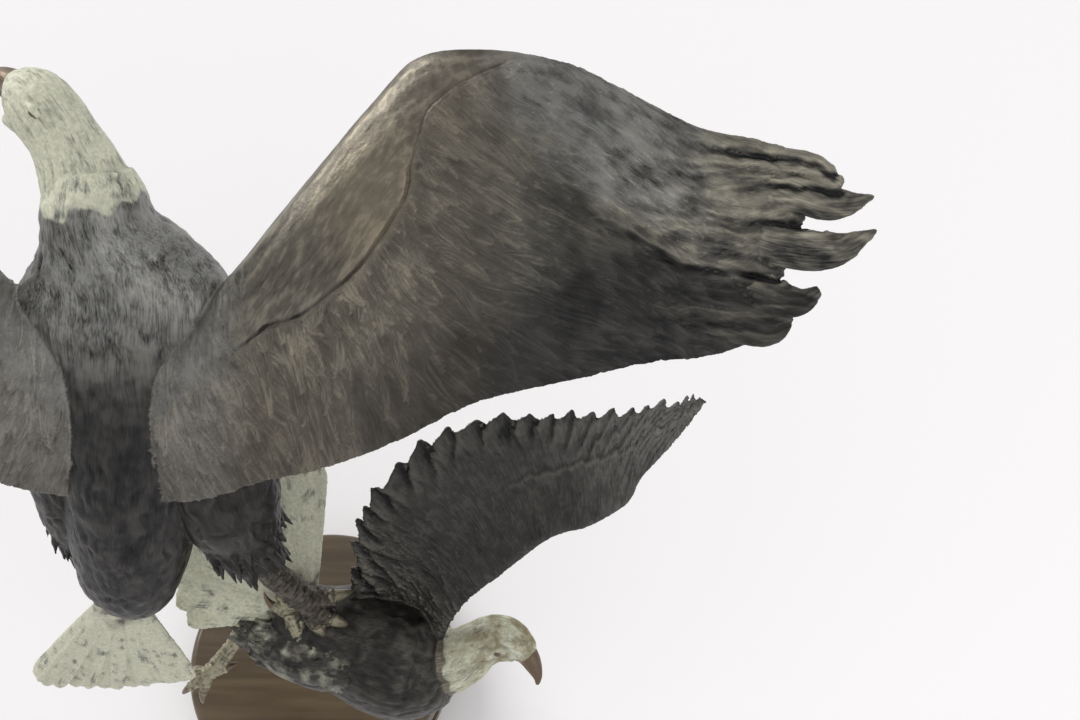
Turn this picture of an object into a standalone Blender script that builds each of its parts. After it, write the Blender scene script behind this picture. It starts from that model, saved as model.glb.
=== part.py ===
"""Two bald eagles locked together in the air: one bronze casting on a turned wooden plinth.

The plinth's centre is on the Z axis and its underside is at Z = 0. The upper eagle flies with its
back to the viewer and its wings spread. It grips the legs of the lower eagle, which has rolled on
its back, lifts one wing and stands on the feather ends of the other.
"""

import math
import random

import bmesh
import bpy
import numpy as np

# Driving sizes, in metres
PLINTH_DIAMETER = 0.206
PLINTH_HEIGHT = 0.045
PLINTH_TOP_ROUNDING = 0.006
PLINTH_COVE_RADIUS = 0.007
PLINTH_FOOT_HEIGHT = 0.010
PLINTH_FOOT_CHAMFER = 0.0015
FIT_GAP = 0.0003
FIGURE_HEIGHT = 0.506
UPPER_FEATHER_STEP = 0.0014
LOWER_FEATHER_STEP = 0.0022
FEATHER_END = 0.0018
CREASE_STEP = 0.0016
WING_EDGE_THICKNESS = 0.0034
FINGER_THICKNESS = 0.0046
CAST_GRAIN = 0.0015
CAST_TRIANGLES = 8300

# The figure is drawn at the height below, in millimetres above the plinth's top, and scaled from it
DRAWN_HEIGHT = 506.0
SCALE = FIGURE_HEIGHT / DRAWN_HEIGHT
SEED = 7

PLINTH_TURNS = 64
PLINTH_ARC_STEPS = 3
VIEW = (0.0, -0.5, 0.866)

# Rows of a limb are x, y, z, half width and half depth, from one end to the other
UPPER_BODY = [
    (-27, 98, 476, 18, 18),
    (-27, 90, 467, 23, 22),
    (-27, 82, 455, 27, 25),
    (-25, 74, 440, 40, 29),
    (-24, 66, 426, 52, 31),
    (-25, 58, 412, 48, 34),
    (-26, 49, 398, 38, 36),
    (-29, 32, 372, 37, 38),
    (-36, 8, 339, 36, 36),
    (-43, -16, 307, 32, 29),
    (-50, -36, 282, 25, 18),
    (-54, -45, 270, 12, 7),
]
UPPER_HEAD = [
    (-28, 86, 456, 23, 22),
    (-32, 98, 474, 19, 19),
    (-37, 107, 486, 16, 16),
    (-43, 114, 494, 16, 15.5),
    (-49, 120, 498, 15, 14),
    (-55, 125, 499, 11, 10.5),
    (-58, 127, 499, 7, 7),
]
UPPER_BEAK = [
    (-53, 123, 499, 7.0, 9.0),
    (-60, 129, 499, 6.4, 8.4),
    (-67, 134, 496, 5.0, 7.0),
    (-71, 136, 489, 3.2, 4.8),
    (-71.5, 134, 482, 0.8, 1.2),
]
LOWER_BODY = [
    (18, -24, 207, 14, 12),
    (27, -28, 204, 21, 19),
    (42, -34, 197, 28, 26),
    (60, -39, 189, 34, 32),
    (80, -45, 181, 38, 36),
    (99, -50, 177, 37, 34),
    (114, -54, 178, 28, 26),
    (123, -55, 180, 14, 13),
]
LOWER_HEAD = [
    (108, -52, 179, 21, 20),
    (121, -50, 180, 20.5, 19),
    (131, -47, 183, 18, 17),
    (140, -42, 187, 15.5, 15),
    (151, -39, 191, 14.5, 14),
    (160, -41, 190, 13.4, 12.5),
    (167, -45, 187, 10, 9),
    (170, -49, 185, 6, 5.5),
]
LOWER_BEAK = [
    (164, -43, 188, 7.6, 5.8),
    (170, -48, 186, 7.0, 5.2),
    (174, -54, 183, 5.4, 3.8),
    (176.5, -60, 180, 3.2, 2.4),
    (176.5, -65, 177.5, 0.9, 0.7),
]

# A wing is a row of feather lines, each from the leading edge to the trailing edge
UPPER_WING_FRONT = [
    (-6, 57, 416),
    (17, 60, 425),
    (34, 71, 437),
    (69, 100, 465),
    (104, 129, 491),
    (123, 141, 503),
    (152, 143, 506),
    (189, 139, 502),
    (222, 129, 491),
    (252, 119, 481),
    (281, 116, 475),
    (306, 113, 468),
]
UPPER_WING_BACK = [
    (-16, -14, 352),
    (11, -16, 361),
    (41, -12, 373),
    (74, -8, 382),
    (110, 2, 394),
    (148, 17, 406),
    (192, 25, 413),
    (230, 32, 418),
    (256, 34, 419),
    (279, 41, 422),
    (292, 65, 433),
    (305, 93, 450),
]
# Where the smooth skin ahead of the arm ends, as shares of the span and of the chord
UPPER_WING_CREASE = [(0.0, 0.30), (0.14, 0.36), (0.30, 0.45), (0.39, 0.40), (0.44, 0.24), (0.53, 0.05)]
# The long end feathers, each as rows of x, y, z and half width
UPPER_FINGERS = [
    [(252, 112, 475, 6), (286, 109, 468, 7.5), (307, 109, 463, 6.5), (321, 105, 458, 1.5)],
    [(247, 102, 471, 7), (286, 100, 463, 9.5), (316, 96, 454, 8.5), (337, 101, 452, 1)],
    [(243, 85, 460, 7), (281, 78, 449, 10), (315, 77, 442, 9), (339, 88, 443, 1)],
    [(234, 69, 450, 7), (272, 61, 438, 9), (298, 56, 430, 7.5), (311, 62, 431, 2.5)],
    [(225, 56, 441, 7), (260, 47, 430, 8.5), (284, 43, 423, 6.5), (297, 48, 424, 2.5)],
]
LOWER_WING_FRONT = [
    (96, -52, 172),
    (113, -46, 189),
    (123, -34, 208),
    (132, -25, 218),
    (142, -19, 227),
    (154, -13, 235),
    (166, -6, 243),
    (180, 1, 254),
    (191, 4, 261),
    (204, 5, 267),
    (216, 8, 275),
    (229, 13, 288),
    (235, 21, 302),
    (249, 32, 318),
    (261, 42, 333),
    (268, 49, 342),
]
LOWER_WING_BACK = [
    (46, -30, 196),
    (58, -21, 213),
    (67, -5, 240),
    (72, 9, 266),
    (80, 18, 279),
    (101, 31, 303),
    (125, 40, 320),
    (150, 43, 331),
    (173, 42, 336),
    (192, 42, 339),
    (209, 41, 341),
    (227, 42, 343),
    (240, 45, 345),
    (253, 46, 344),
    (260, 49, 344),
    (266, 50, 344),
]
STANDING_WING_FRONT = [
    (92, -54, 168),
    (104, -56, 148),
    (111, -52, 124),
    (110, -40, 96),
    (101, -24, 66),
    (88, -8, 34),
    (78, 4, -8),
]
STANDING_WING_BACK = [
    (46, -40, 178),
    (48, -30, 158),
    (46, -12, 124),
    (40, 6, 92),
    (32, 20, 58),
    (24, 32, 26),
    (18, 40, -8),
]
UPPER_RIGHT_THIGH = [
    (-2, 24, 368, 24, 26),
    (5, 15, 346, 30, 28),
    (8, 3, 320, 30, 27),
    (12, -6, 300, 24, 22),
    (17, -14, 280, 14, 13),
]
UPPER_RIGHT_SHANK = [(14, -12, 286), (19, -18, 272), (25, -21, 257), (32, -24, 243), (39, -28, 232)]
UPPER_LEFT_THIGH = [
    (-60, 20, 360, 22, 24),
    (-66, 8, 336, 24, 24),
    (-70, -4, 310, 20, 20),
    (-71, -12, 290, 12, 12),
]
UPPER_LEFT_SHANK = [(-71, -10, 294), (-74, -16, 272), (-77, -22, 250), (-80, -28, 232)]
LOWER_LEFT_THIGH = [
    (62, -48, 192, 26, 24),
    (38, -47, 194, 23, 21),
    (16, -42, 194, 18, 17),
    (0, -36, 195, 11, 11),
]
LOWER_LEFT_SHANK = [(2, -34, 196), (-6, -32, 197), (-12, -40, 191), (-20, -48, 184), (-30, -57, 177)]
LOWER_RIGHT_THIGH = [
    (58, -48, 192, 24, 22),
    (48, -52, 199, 17, 16),
    (41, -54, 204, 10, 10),
]
LOWER_RIGHT_SHANK = [(45, -55, 200), (39, -53, 205), (34, -45, 212), (27, -32, 220)]

UPPER_TAIL_ROOT = (-52, -36, 286)
UPPER_TAIL_END = (-89, -65, 180)
UPPER_TAIL_HALF_WIDTH = 45
LOWER_TAIL_ROOT = (34, -24, 205)
LOWER_TAIL_ENDS = [
    (-38, -31, 214),
    (-44, -14, 229),
    (-36, 8, 244),
    (-20, 24, 255),
    (3, 36, 263),
    (24, 44, 267),
    (40, 46, 266),
]
TAIL_FEATHERS = 11


def unit(vector):
    """The same direction at length one, for one vector or for rows of them."""
    vector = np.asarray(vector, float)
    return vector / np.maximum(np.linalg.norm(vector, axis=-1, keepdims=True), 1e-12)


def through(points, count):
    """Evenly numbered points on a smooth curve through the given ones, with every column eased."""
    points = np.asarray(points, float)
    before = 2 * points[0] - points[1]
    after = 2 * points[-1] - points[-2]
    knots = np.vstack([before, points, after])
    place = np.linspace(0, len(points) - 1, count)
    index = np.minimum(place.astype(int), len(points) - 2)
    f = (place - index)[:, None]
    a, b, c, d = (knots[index + k] for k in range(4))
    bend = (2 * a - 5 * b + 4 * c - d) * f**2 + (3 * b - a - 3 * c + d) * f**3
    return 0.5 * (2 * b + (c - a) * f + bend)


def skin(bm, rings):
    """A closed skin over rings of equally many points, with a fan over each end."""
    rows = [[bm.verts.new(point) for point in ring] for ring in rings]
    count = len(rows[0])
    for low, high in zip(rows, rows[1:]):
        for i in range(count):
            j = (i + 1) % count
            bm.faces.new((low[i], low[j], high[j], high[i]))
    for row in (rows[0], rows[-1]):
        middle = bm.verts.new(np.mean([vert.co for vert in row], axis=0))
        for i in range(count):
            bm.faces.new((row[i], row[(i + 1) % count], middle))


def limb(bm, rows, facing=VIEW, sides=14, stations=None):
    """A rounded form along rows of centre, half width and half depth, with its depth to facing."""
    rows = through(rows, stations or 6 * len(rows))
    centre, half = rows[:, :3], np.maximum(rows[:, 3:5], 0.3)
    along = unit(np.gradient(centre, axis=0))
    side = unit(np.cross(along, facing))
    depth = np.cross(side, along)
    turn = np.linspace(0, 2 * math.pi, sides, endpoint=False)
    rings = []
    for i, row in enumerate(centre):
        out = np.outer(np.cos(turn), side[i]) * half[i, 0]
        out += np.outer(np.sin(turn), depth[i]) * half[i, 1]
        rings.append(row + out)
    skin(bm, rings)


def wing(bm, fronts, backs, up, feathers, arm, camber, step, crease=None, mirror=None):
    """A feathered sheet from leading to trailing edge: thick at the arm, stepped at each feather."""
    count, across = feathers * 5 + 1, 26
    front, back = through(fronts, count), through(backs, count)
    chord = unit(back - front)
    span = unit(np.gradient((front + back) / 2, axis=0))
    normal = unit(np.cross(span, chord))
    normal *= np.sign(normal @ np.asarray(up))[:, None]
    edge = WING_EDGE_THICKNESS / SCALE
    t = (1 - np.cos(np.linspace(0, math.pi, across))) / 2
    rings = []
    for i in range(count):
        s = i / (count - 1)
        saw = (s * feathers) % 1
        reach = 1 + FEATHER_END / SCALE * math.sin(math.pi * saw) / np.linalg.norm(back[i] - front[i])
        thick = edge + (arm * (1 - 0.75 * s) - edge) * np.exp(-(((t - 0.12) / 0.2) ** 2))
        thick *= np.sqrt(np.clip(t / 0.06, 0, 1)) * 0.9 + 0.1
        rise = camber * (1 - 0.5 * s) * 4 * t * (1 - t) ** 1.4
        ridge = step / SCALE * (saw - 0.5) * np.clip((t - 0.45) / 0.3, 0, 1)
        if crease is not None:
            line = np.interp(s, *zip(*crease))
            ridge = ridge + CREASE_STEP / SCALE * np.clip((line - t) / 0.03, -0.5, 0.5)
        middle = front[i] + np.outer(t * reach, back[i] - front[i])
        top = middle + np.outer(rise + ridge + thick / 2, normal[i])
        base = middle + np.outer(rise + ridge - thick / 2, normal[i])
        ring = np.vstack([top, base[-2:0:-1]])
        rings.append(ring if mirror is None else mirror(ring))
    skin(bm, rings)


def feather(bm, rows, thickness, facing=VIEW, mirror=None):
    """One long feather: a flat blade along rows of place and half width."""
    points = np.asarray(rows, float)[:, :3]
    if mirror is not None:
        points, facing = mirror(points), mirror(np.asarray(facing, float), True)
    widest = max(row[3] for row in rows)
    rows = [(*p, row[3], thickness * (0.5 + 0.5 * row[3] / widest) / 2) for p, row in zip(points, rows)]
    limb(bm, rows, facing, sides=12, stations=18)


def claw(bm, start, heading, down, length, width):
    """A toe and its claw: straight out from the foot, then hooked down to a point."""
    start, heading, down = np.asarray(start, float), unit(heading), unit(down)
    shape = ((0, 0, 1), (0.35, -0.03, 0.95), (0.6, 0.02, 0.85), (0.8, 0.14, 0.6), (0.95, 0.36, 0.15))
    rows = [
        (*(start + length * (out * heading + drop * down)), width * size, width * size)
        for out, drop, size in shape
    ]
    limb(bm, rows, down + 0.01, sides=8, stations=16)


def foot(bm, shank, ahead, spread, down, length, width):
    """A leg from below the thigh feathers to the foot, with three toes ahead and one behind."""
    rows = [(*p, width, width) for p in shank]
    rows[-1] = (*shank[-1], width * 1.25, width * 1.1)
    limb(bm, rows, spread, sides=10)
    end, ahead, spread = np.asarray(shank[-1], float), unit(ahead), unit(spread)
    for sideways, reach in ((-0.8, 0.95), (0.0, 1.1), (0.8, 0.95)):
        claw(bm, end, ahead + sideways * spread, down, length * reach, width * 0.78)
    claw(bm, end, -ahead - 0.3 * spread, down, length * 0.8, width * 0.8)


def thigh(bm, rows, hem_count, hem_length, rng, facing=VIEW):
    """A feathered thigh whose hem hangs in ragged locks."""
    limb(bm, rows, facing, sides=16)
    rows = np.asarray(rows, float)
    along = unit(rows[-1, :3] - rows[-2, :3])
    side = unit(np.cross(along, facing))
    depth = np.cross(side, along)
    for k in range(hem_count):
        turn = 2 * math.pi * k / hem_count
        hold = rows[-2] if k % 2 else rows[-1]
        out = side * math.cos(turn) * hold[3] * 0.8 + depth * math.sin(turn) * hold[4] * 0.8
        reach = hem_length * rng.uniform(0.7, 1.25)
        start = hold[:3] + out
        rows_of_lock = [
            (*start, 5.5, 4.0),
            (*(start + along * reach * 0.5 + out * 0.18), 4.0, 3.0),
            (*(start + along * reach + out * 0.12), 0.8, 0.7),
        ]
        limb(bm, rows_of_lock, facing, sides=8, stations=10)


def tail(bm, root, ends, half_width, thickness, facing=VIEW):
    """A fan of tail feathers from one root, each a little in front of the one before."""
    root, facing = np.asarray(root, float), unit(facing)
    ends = through(ends, TAIL_FEATHERS)
    for k, end in enumerate(ends):
        layer = facing * 0.5 * ((k % 2) - 0.5) * thickness
        middle = root + 0.55 * (end - root) + layer
        rows = [
            (*(root + layer), half_width * 0.45, thickness * 0.8),
            (*middle, half_width * 0.85, thickness * 0.6),
            (*(root + 0.9 * (end - root) + layer), half_width, thickness * 0.5),
            (*(end + layer), half_width * 0.75, thickness * 0.4),
        ]
        limb(bm, rows, facing, sides=10, stations=12)


def brow_and_eye(bm, place, ahead, across, size, facing):
    """The ridge over an eye, and the eye as a low ball under it."""
    place, ahead, across = np.asarray(place, float), unit(ahead), unit(across)
    rows = [
        (*(place - ahead * size * 1.1 + across * size * 0.2), size * 0.3, size * 0.25),
        (*(place + across * size * 0.75), size * 0.42, size * 0.38),
        (*(place + ahead * size * 1.2 + across * size * 0.35), size * 0.3, size * 0.2),
    ]
    limb(bm, rows, facing, sides=8, stations=10)
    ball = bmesh.ops.create_uvsphere(bm, u_segments=10, v_segments=8, radius=size * 0.52)
    bmesh.ops.translate(bm, verts=ball["verts"], vec=place)


def upper_mirror():
    """The function that turns the right side of the upper eagle into its left side."""
    origin = np.array([-27.0, 60.0, 420.0])
    normal = unit((1.0, -0.03, -0.09))

    def flip(points, direction=False):
        away = points if direction else points - origin
        return points - 2 * np.outer(away @ normal, normal).reshape(points.shape)

    return flip


def upper_eagle(bm, rng):
    """The eagle on top, its back to the viewer."""
    feather_count = 26
    limb(bm, UPPER_BODY, sides=24)
    limb(bm, UPPER_HEAD, sides=18)
    limb(bm, UPPER_BEAK, sides=10)
    brow_and_eye(bm, (-42, 104, 507), (-0.6, 0.6, 0.1), (0.3, -0.2, 0.9), 4.0, (0.4, -0.4, 0.8))
    brow_and_eye(bm, (-58, 109, 494), (-0.5, 0.7, 0.1), (-0.5, -0.1, 0.8), 4.0, (-0.6, -0.3, 0.7))
    flip = upper_mirror()
    for mirror in (None, flip):
        wing(bm, UPPER_WING_FRONT, UPPER_WING_BACK, VIEW, feather_count, 14, 20,
             UPPER_FEATHER_STEP, UPPER_WING_CREASE, mirror)
        for rows in UPPER_FINGERS:
            feather(bm, rows, FINGER_THICKNESS / SCALE, VIEW, mirror)
    ends = []
    root, end = np.array(UPPER_TAIL_ROOT, float), np.array(UPPER_TAIL_END, float)
    for share in (-1, -0.5, 0, 0.5, 1):
        across = np.array([share * UPPER_TAIL_HALF_WIDTH, 0, 0])
        ends.append(end + across + 0.06 * abs(share) * (root - end))
    tail(bm, root, ends, 9.0, 4.5)
    thigh(bm, UPPER_RIGHT_THIGH, 16, 16, rng)
    foot(bm, UPPER_RIGHT_SHANK, (0.8, -0.5, -0.3), (0.3, 0.8, 0.4), (0.1, 0.5, -0.866), 27, 6.4)
    thigh(bm, UPPER_LEFT_THIGH, 12, 14, rng)
    foot(bm, UPPER_LEFT_SHANK, (-0.4, 0.4, -0.8), (-0.6, 0.5, 0.2), (-0.1, -0.8, -0.3), 22, 5.6)


def lower_eagle(bm, rng):
    """The eagle beneath, rolled on its back, held by the legs and standing on one wing."""
    limb(bm, LOWER_BODY, sides=24)
    limb(bm, LOWER_HEAD, sides=20)
    limb(bm, LOWER_BEAK, sides=12)
    brow_and_eye(bm, (152, -51, 199), (0.9, -0.2, 0), (0.1, 0.7, 0.5), 3.6, VIEW)
    brow_and_eye(bm, (153, -28, 182), (0.9, -0.3, 0), (0.1, 0.8, 0.4), 3.6, (0, 0.5, -0.866))
    wing(bm, LOWER_WING_FRONT, LOWER_WING_BACK, (0, 0.5, -0.866), 24, 12, 13, LOWER_FEATHER_STEP)
    wing(bm, STANDING_WING_FRONT, STANDING_WING_BACK, (0.6, 0.6, -0.2), 14, 13, 12, LOWER_FEATHER_STEP)
    tail(bm, LOWER_TAIL_ROOT, LOWER_TAIL_ENDS, 9.5, 4.5)
    thigh(bm, LOWER_LEFT_THIGH, 12, 10, rng)
    foot(bm, LOWER_LEFT_SHANK, (-0.8, -0.5, -0.3), (-0.5, 0.75, 0.4), (0, 0.3, -0.9), 23, 4.6)
    thigh(bm, LOWER_RIGHT_THIGH, 8, 7, rng)
    foot(bm, LOWER_RIGHT_SHANK, (-0.4, 0.6, 0.6), (0.8, 0.3, 0.2), (0.2, 0.6, 0.7), 20, 4.6)


def to_object(bm, name, collection):
    """A mesh object in the collection from a finished bmesh."""
    mesh = bpy.data.meshes.new(name)
    bm.to_mesh(mesh)
    bm.free()
    thing = bpy.data.objects.new(name, mesh)
    collection.objects.link(thing)
    return thing


def baked(thing):
    """The object's mesh with its modifiers applied, which are then removed."""
    graph = bpy.context.evaluated_depsgraph_get()
    mesh = bpy.data.meshes.new_from_object(thing.evaluated_get(graph))
    thing.modifiers.clear()
    return mesh


def cast_as_one(thing):
    """Makes the overlapping forms one closed surface, then thins its triangles."""
    remesh = thing.modifiers.new("one_skin", "REMESH")
    remesh.mode = "VOXEL"
    remesh.voxel_size = CAST_GRAIN
    thing.data = baked(thing)
    thing.data.calc_loop_triangles()
    thin = thing.modifiers.new("thin", "DECIMATE")
    thin.ratio = CAST_TRIANGLES / len(thing.data.loop_triangles)
    thin.use_collapse_triangulate = True
    thing.data = baked(thing)


def keep_largest(bm):
    """Removes any crumb that the one skin left apart from the casting."""
    left = set(bm.verts)
    groups = []
    while left:
        group, front = set(), [left.pop()]
        while front:
            vert = front.pop()
            group.add(vert)
            for edge in vert.link_edges:
                other = edge.other_vert(vert)
                if other in left:
                    left.discard(other)
                    front.append(other)
        groups.append(group)
    groups.sort(key=len)
    for group in groups[:-1]:
        bmesh.ops.delete(bm, geom=list(group), context="VERTS")


def stand_flat(thing):
    """Cuts the feather ends that the figure stands on flat, level with the plinth's top."""
    bm = bmesh.new()
    bm.from_mesh(thing.data)
    keep_largest(bm)
    everything = bm.verts[:] + bm.edges[:] + bm.faces[:]
    bmesh.ops.bisect_plane(bm, geom=everything, dist=1e-6, plane_co=(0, 0, 0),
                           plane_no=(0, 0, 1), clear_inner=True)
    open_edges = [edge for edge in bm.edges if edge.is_boundary]
    bmesh.ops.holes_fill(bm, edges=open_edges, sides=0)
    bmesh.ops.triangulate(bm, faces=bm.faces[:])
    bmesh.ops.recalc_face_normals(bm, faces=bm.faces[:])
    bm.to_mesh(thing.data)
    bm.free()


def material(name, colour, metallic, roughness):
    """A Principled material."""
    made = bpy.data.materials.new(name)
    made.use_nodes = True
    shader = made.node_tree.nodes["Principled BSDF"]
    shader.inputs["Base Color"].default_value = (*colour, 1)
    shader.inputs["Metallic"].default_value = metallic
    shader.inputs["Roughness"].default_value = roughness
    return made


def make_eagles(collection):
    """Both eagles as the one casting that they are."""
    rng = random.Random(SEED)
    bm = bmesh.new()
    upper_eagle(bm, rng)
    lower_eagle(bm, rng)
    bmesh.ops.recalc_face_normals(bm, faces=bm.faces[:])
    bmesh.ops.scale(bm, vec=(SCALE, SCALE, SCALE), verts=bm.verts[:])
    eagles = to_object(bm, "eagle_group", collection)
    cast_as_one(eagles)
    stand_flat(eagles)
    eagles.location.z = PLINTH_HEIGHT + FIT_GAP
    eagles.data.materials.clear()
    eagles.data.materials.append(material("patinated_bronze", (0.06, 0.05, 0.045), 0.8, 0.45))


def plinth_profile():
    """The turned outline, from the top's centre over the edge and down to the underside."""
    radius = PLINTH_DIAMETER / 2
    points = [(0, PLINTH_HEIGHT)]
    turn = PLINTH_TOP_ROUNDING
    for k in range(PLINTH_ARC_STEPS + 1):
        angle = math.radians(90 - 90 * k / PLINTH_ARC_STEPS)
        points.append((radius + turn * (math.cos(angle) - 1), PLINTH_HEIGHT + turn * (math.sin(angle) - 1)))
    cove = PLINTH_COVE_RADIUS
    for k in range(2 * PLINTH_ARC_STEPS + 1):
        angle = math.radians(90 + 90 * k / PLINTH_ARC_STEPS)
        points.append((radius + cove * math.cos(angle), PLINTH_FOOT_HEIGHT + cove * (math.sin(angle) + 1)))
    points.append((radius, PLINTH_FOOT_CHAMFER))
    points.append((radius - PLINTH_FOOT_CHAMFER, 0))
    points.append((0, 0))
    return points


def make_plinth(collection):
    """The round plinth, turned about the Z axis."""
    bm = bmesh.new()
    points = [bm.verts.new((x, 0, z)) for x, z in plinth_profile()]
    for first, second in zip(points, points[1:]):
        bm.edges.new((first, second))
    plinth = to_object(bm, "plinth", collection)
    turn = plinth.modifiers.new("turned", "SCREW")
    turn.axis = "Z"
    turn.steps = PLINTH_TURNS
    turn.render_steps = PLINTH_TURNS
    turn.use_merge_vertices = True
    turn.merge_threshold = 0.0001
    plinth.data.materials.append(material("lacquered_walnut", (0.09, 0.05, 0.03), 0.0, 0.2))


def main():
    for thing in list(bpy.data.objects):
        bpy.data.objects.remove(thing, do_unlink=True)
    collection = bpy.data.collections.new("eagle_sculpture")
    bpy.context.scene.collection.children.link(collection)
    make_plinth(collection)
    make_eagles(collection)


main()
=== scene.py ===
import math
import random

import bmesh
import bpy
import numpy as np
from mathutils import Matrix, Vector


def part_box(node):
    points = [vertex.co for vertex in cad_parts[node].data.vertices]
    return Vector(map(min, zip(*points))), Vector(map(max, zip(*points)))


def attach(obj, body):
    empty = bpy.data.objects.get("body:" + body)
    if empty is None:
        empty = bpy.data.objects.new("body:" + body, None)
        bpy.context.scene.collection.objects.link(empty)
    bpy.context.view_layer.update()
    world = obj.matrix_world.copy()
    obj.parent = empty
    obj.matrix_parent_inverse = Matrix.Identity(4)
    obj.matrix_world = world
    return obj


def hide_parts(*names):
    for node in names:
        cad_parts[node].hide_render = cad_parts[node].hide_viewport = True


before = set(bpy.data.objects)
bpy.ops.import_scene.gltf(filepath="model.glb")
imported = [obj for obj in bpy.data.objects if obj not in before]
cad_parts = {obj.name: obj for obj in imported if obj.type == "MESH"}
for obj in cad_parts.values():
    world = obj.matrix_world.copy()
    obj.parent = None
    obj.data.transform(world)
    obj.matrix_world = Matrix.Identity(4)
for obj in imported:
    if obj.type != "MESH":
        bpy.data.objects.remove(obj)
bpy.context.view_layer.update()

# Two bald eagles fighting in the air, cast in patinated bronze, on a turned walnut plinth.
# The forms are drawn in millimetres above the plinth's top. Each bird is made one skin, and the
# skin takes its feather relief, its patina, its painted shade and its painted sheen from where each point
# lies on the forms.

bl_info = {
    "name": "Fighting eagles bronze",
    "version": (1, 0, 0),
    "blender": (4, 5, 0),
    "location": "View3D > Sidebar > Eagles",
    "description": "Feather relief, patina, plinth and studio for a bronze group of two eagles",
    "category": "Add Mesh",
}

MM = 0.001
FIGURE_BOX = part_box("eagle_group")
FIGURE_BASE = FIGURE_BOX[0][2]
PLINTH_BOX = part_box("plinth")

# The photograph's camera, in metres, and its picture in pixels
CAMERA_PLACE = (0.178, -0.217, 0.893)
CAMERA_TILT = math.radians(30)
CAMERA_LENS = 35
SENSOR_WIDTH = 36
PICTURE = (1080, 720)
VIEW = (0.0, -0.5, 0.866)
PIXELS_PER_MM = 2.14

# The plane that halves the upper eagle: a place in its back, and the way across it
BACK_MIDDLE = (-27.0, 60.0, 420.0)
BACK_ACROSS = (1.0, -0.03, -0.09)

# Heights over the plinth that tell the upper bird's wings from its tail, and its claws from its beak
WINGS_ABOVE = 300
CLAWS_BELOW = 330
# Places in the plumage and the way from them to the head
UPPER_NECK = ((-27, 82, 455), (-0.18, 0.62, 0.76))
UPPER_SHOULDERS = ((-24, 66, 426), (-0.1, 0.5, 0.85))
LOWER_NECK = ((120, -52, 180), (1.0, 0.08, 0.12))
RIGHT_ARM, RIGHT_HAND, LEFT_WING, UPPER_BODY, LOWER_EAGLE = 196000, 166000, 150000, 190000, 192000

# What a form is made of, kept with each of its points
UPPER_WING, LOWER_WING, STANDING_WING, BODY, THIGH, HEAD, LEG, HORN, TAIL, FINGER, EYE = range(11)

# Rows of a limb are x, y, z, half width and half depth, from one end to the other
UPPER_BODY_ROWS = [
    (-27, 98, 476, 18, 18), (-27, 90, 467, 23, 22), (-27, 82, 455, 27, 25), (-25, 74, 440, 40, 29),
    (-24, 66, 426, 52, 31), (-25, 58, 412, 48, 34), (-26, 49, 398, 38, 36), (-29, 32, 372, 37, 38),
    (-36, 8, 339, 36, 36), (-43, -16, 307, 32, 29), (-50, -36, 282, 25, 18), (-54, -45, 270, 12, 7),
]
UPPER_HEAD_ROWS = [
    (-28, 86, 456, 23, 22), (-32, 98, 474, 19, 19), (-37, 107, 486, 16, 16), (-43, 114, 494, 16, 15.5),
    (-49, 120, 498, 15, 14), (-55, 125, 499, 11, 10.5), (-58, 127, 499, 7, 7),
]
UPPER_BEAK_ROWS = [
    (-53, 123, 499, 7.0, 9.0), (-60, 129, 499, 6.4, 8.4), (-67, 134, 496, 5.0, 7.0),
    (-71, 136, 489, 3.2, 4.8), (-71.5, 134, 482, 0.8, 1.2),
]
LOWER_BODY_ROWS = [
    (18, -24, 207, 14, 12), (27, -28, 204, 21, 19), (42, -34, 197, 28, 26), (60, -39, 189, 34, 32),
    (80, -45, 181, 38, 36), (99, -50, 177, 37, 34), (114, -54, 178, 28, 26), (123, -55, 180, 14, 13),
]
LOWER_HEAD_ROWS = [
    (108, -52, 179, 21, 20), (121, -50, 180, 20.5, 19), (131, -47, 183, 18, 17),
    (140, -42, 187, 15.5, 15), (151, -39, 191, 14.5, 14), (160, -41, 190, 13.4, 12.5),
    (167, -45, 187, 10, 9), (170, -49, 185, 6, 5.5),
]
LOWER_BEAK_ROWS = [
    (164, -43, 188, 7.6, 5.8), (170, -48, 186, 7.0, 5.2), (174, -54, 183, 5.4, 3.8),
    (176.5, -60, 180, 3.2, 2.4), (176.5, -65, 177.5, 0.9, 0.7),
]

# A wing is a row of feather lines, each from the leading edge to the trailing edge
UPPER_WING_FRONT = [
    (-6, 57, 416), (17, 60, 425), (34, 71, 437), (69, 100, 465), (104, 129, 491), (123, 141, 503),
    (152, 143, 506), (189, 139, 502), (222, 129, 491), (252, 119, 481), (281, 116, 475),
    (306, 113, 468),
]
UPPER_WING_BACK = [
    (-16, -14, 352), (11, -16, 361), (41, -12, 373), (74, -8, 382), (110, 1, 393), (148, 15.5, 405),
    (192, 23.3, 412), (230, 30.4, 417), (256, 33, 418), (279, 41, 422), (292, 65, 433), (305, 93, 450),
]
# The long end feathers, each as rows of x, y, z and half width
UPPER_FINGERS = [
    [(252, 112, 475, 6), (286, 109, 468, 7.5), (307, 109, 463, 6.5), (321, 105, 458, 1.5)],
    [(247, 102, 471, 7), (286, 100, 463, 9.5), (316, 96, 454, 8.5), (337, 101, 452, 1)],
    [(243, 85, 460, 7), (281, 78, 449, 10), (315, 77, 442, 9), (339, 88, 443, 1)],
    [(234, 69, 450, 7), (272, 61, 438, 9), (298, 56, 430, 7.5), (311, 62, 431, 2.5)],
    [(225, 56, 441, 7), (260, 49, 431, 10), (284, 45, 424, 9), (297, 49, 424, 3)],
]
LOWER_WING_FRONT = [
    (96, -52, 172), (113, -46, 189), (123, -34, 208), (132, -25, 218), (142, -19, 227), (154, -13, 235),
    (166, -6, 243), (180, 1, 254), (191, 4, 261), (204, 5, 267), (216, 8, 275), (229, 13, 288),
    (235, 21, 302), (249, 32, 318), (261, 42, 333), (268, 49, 342),
]
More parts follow.
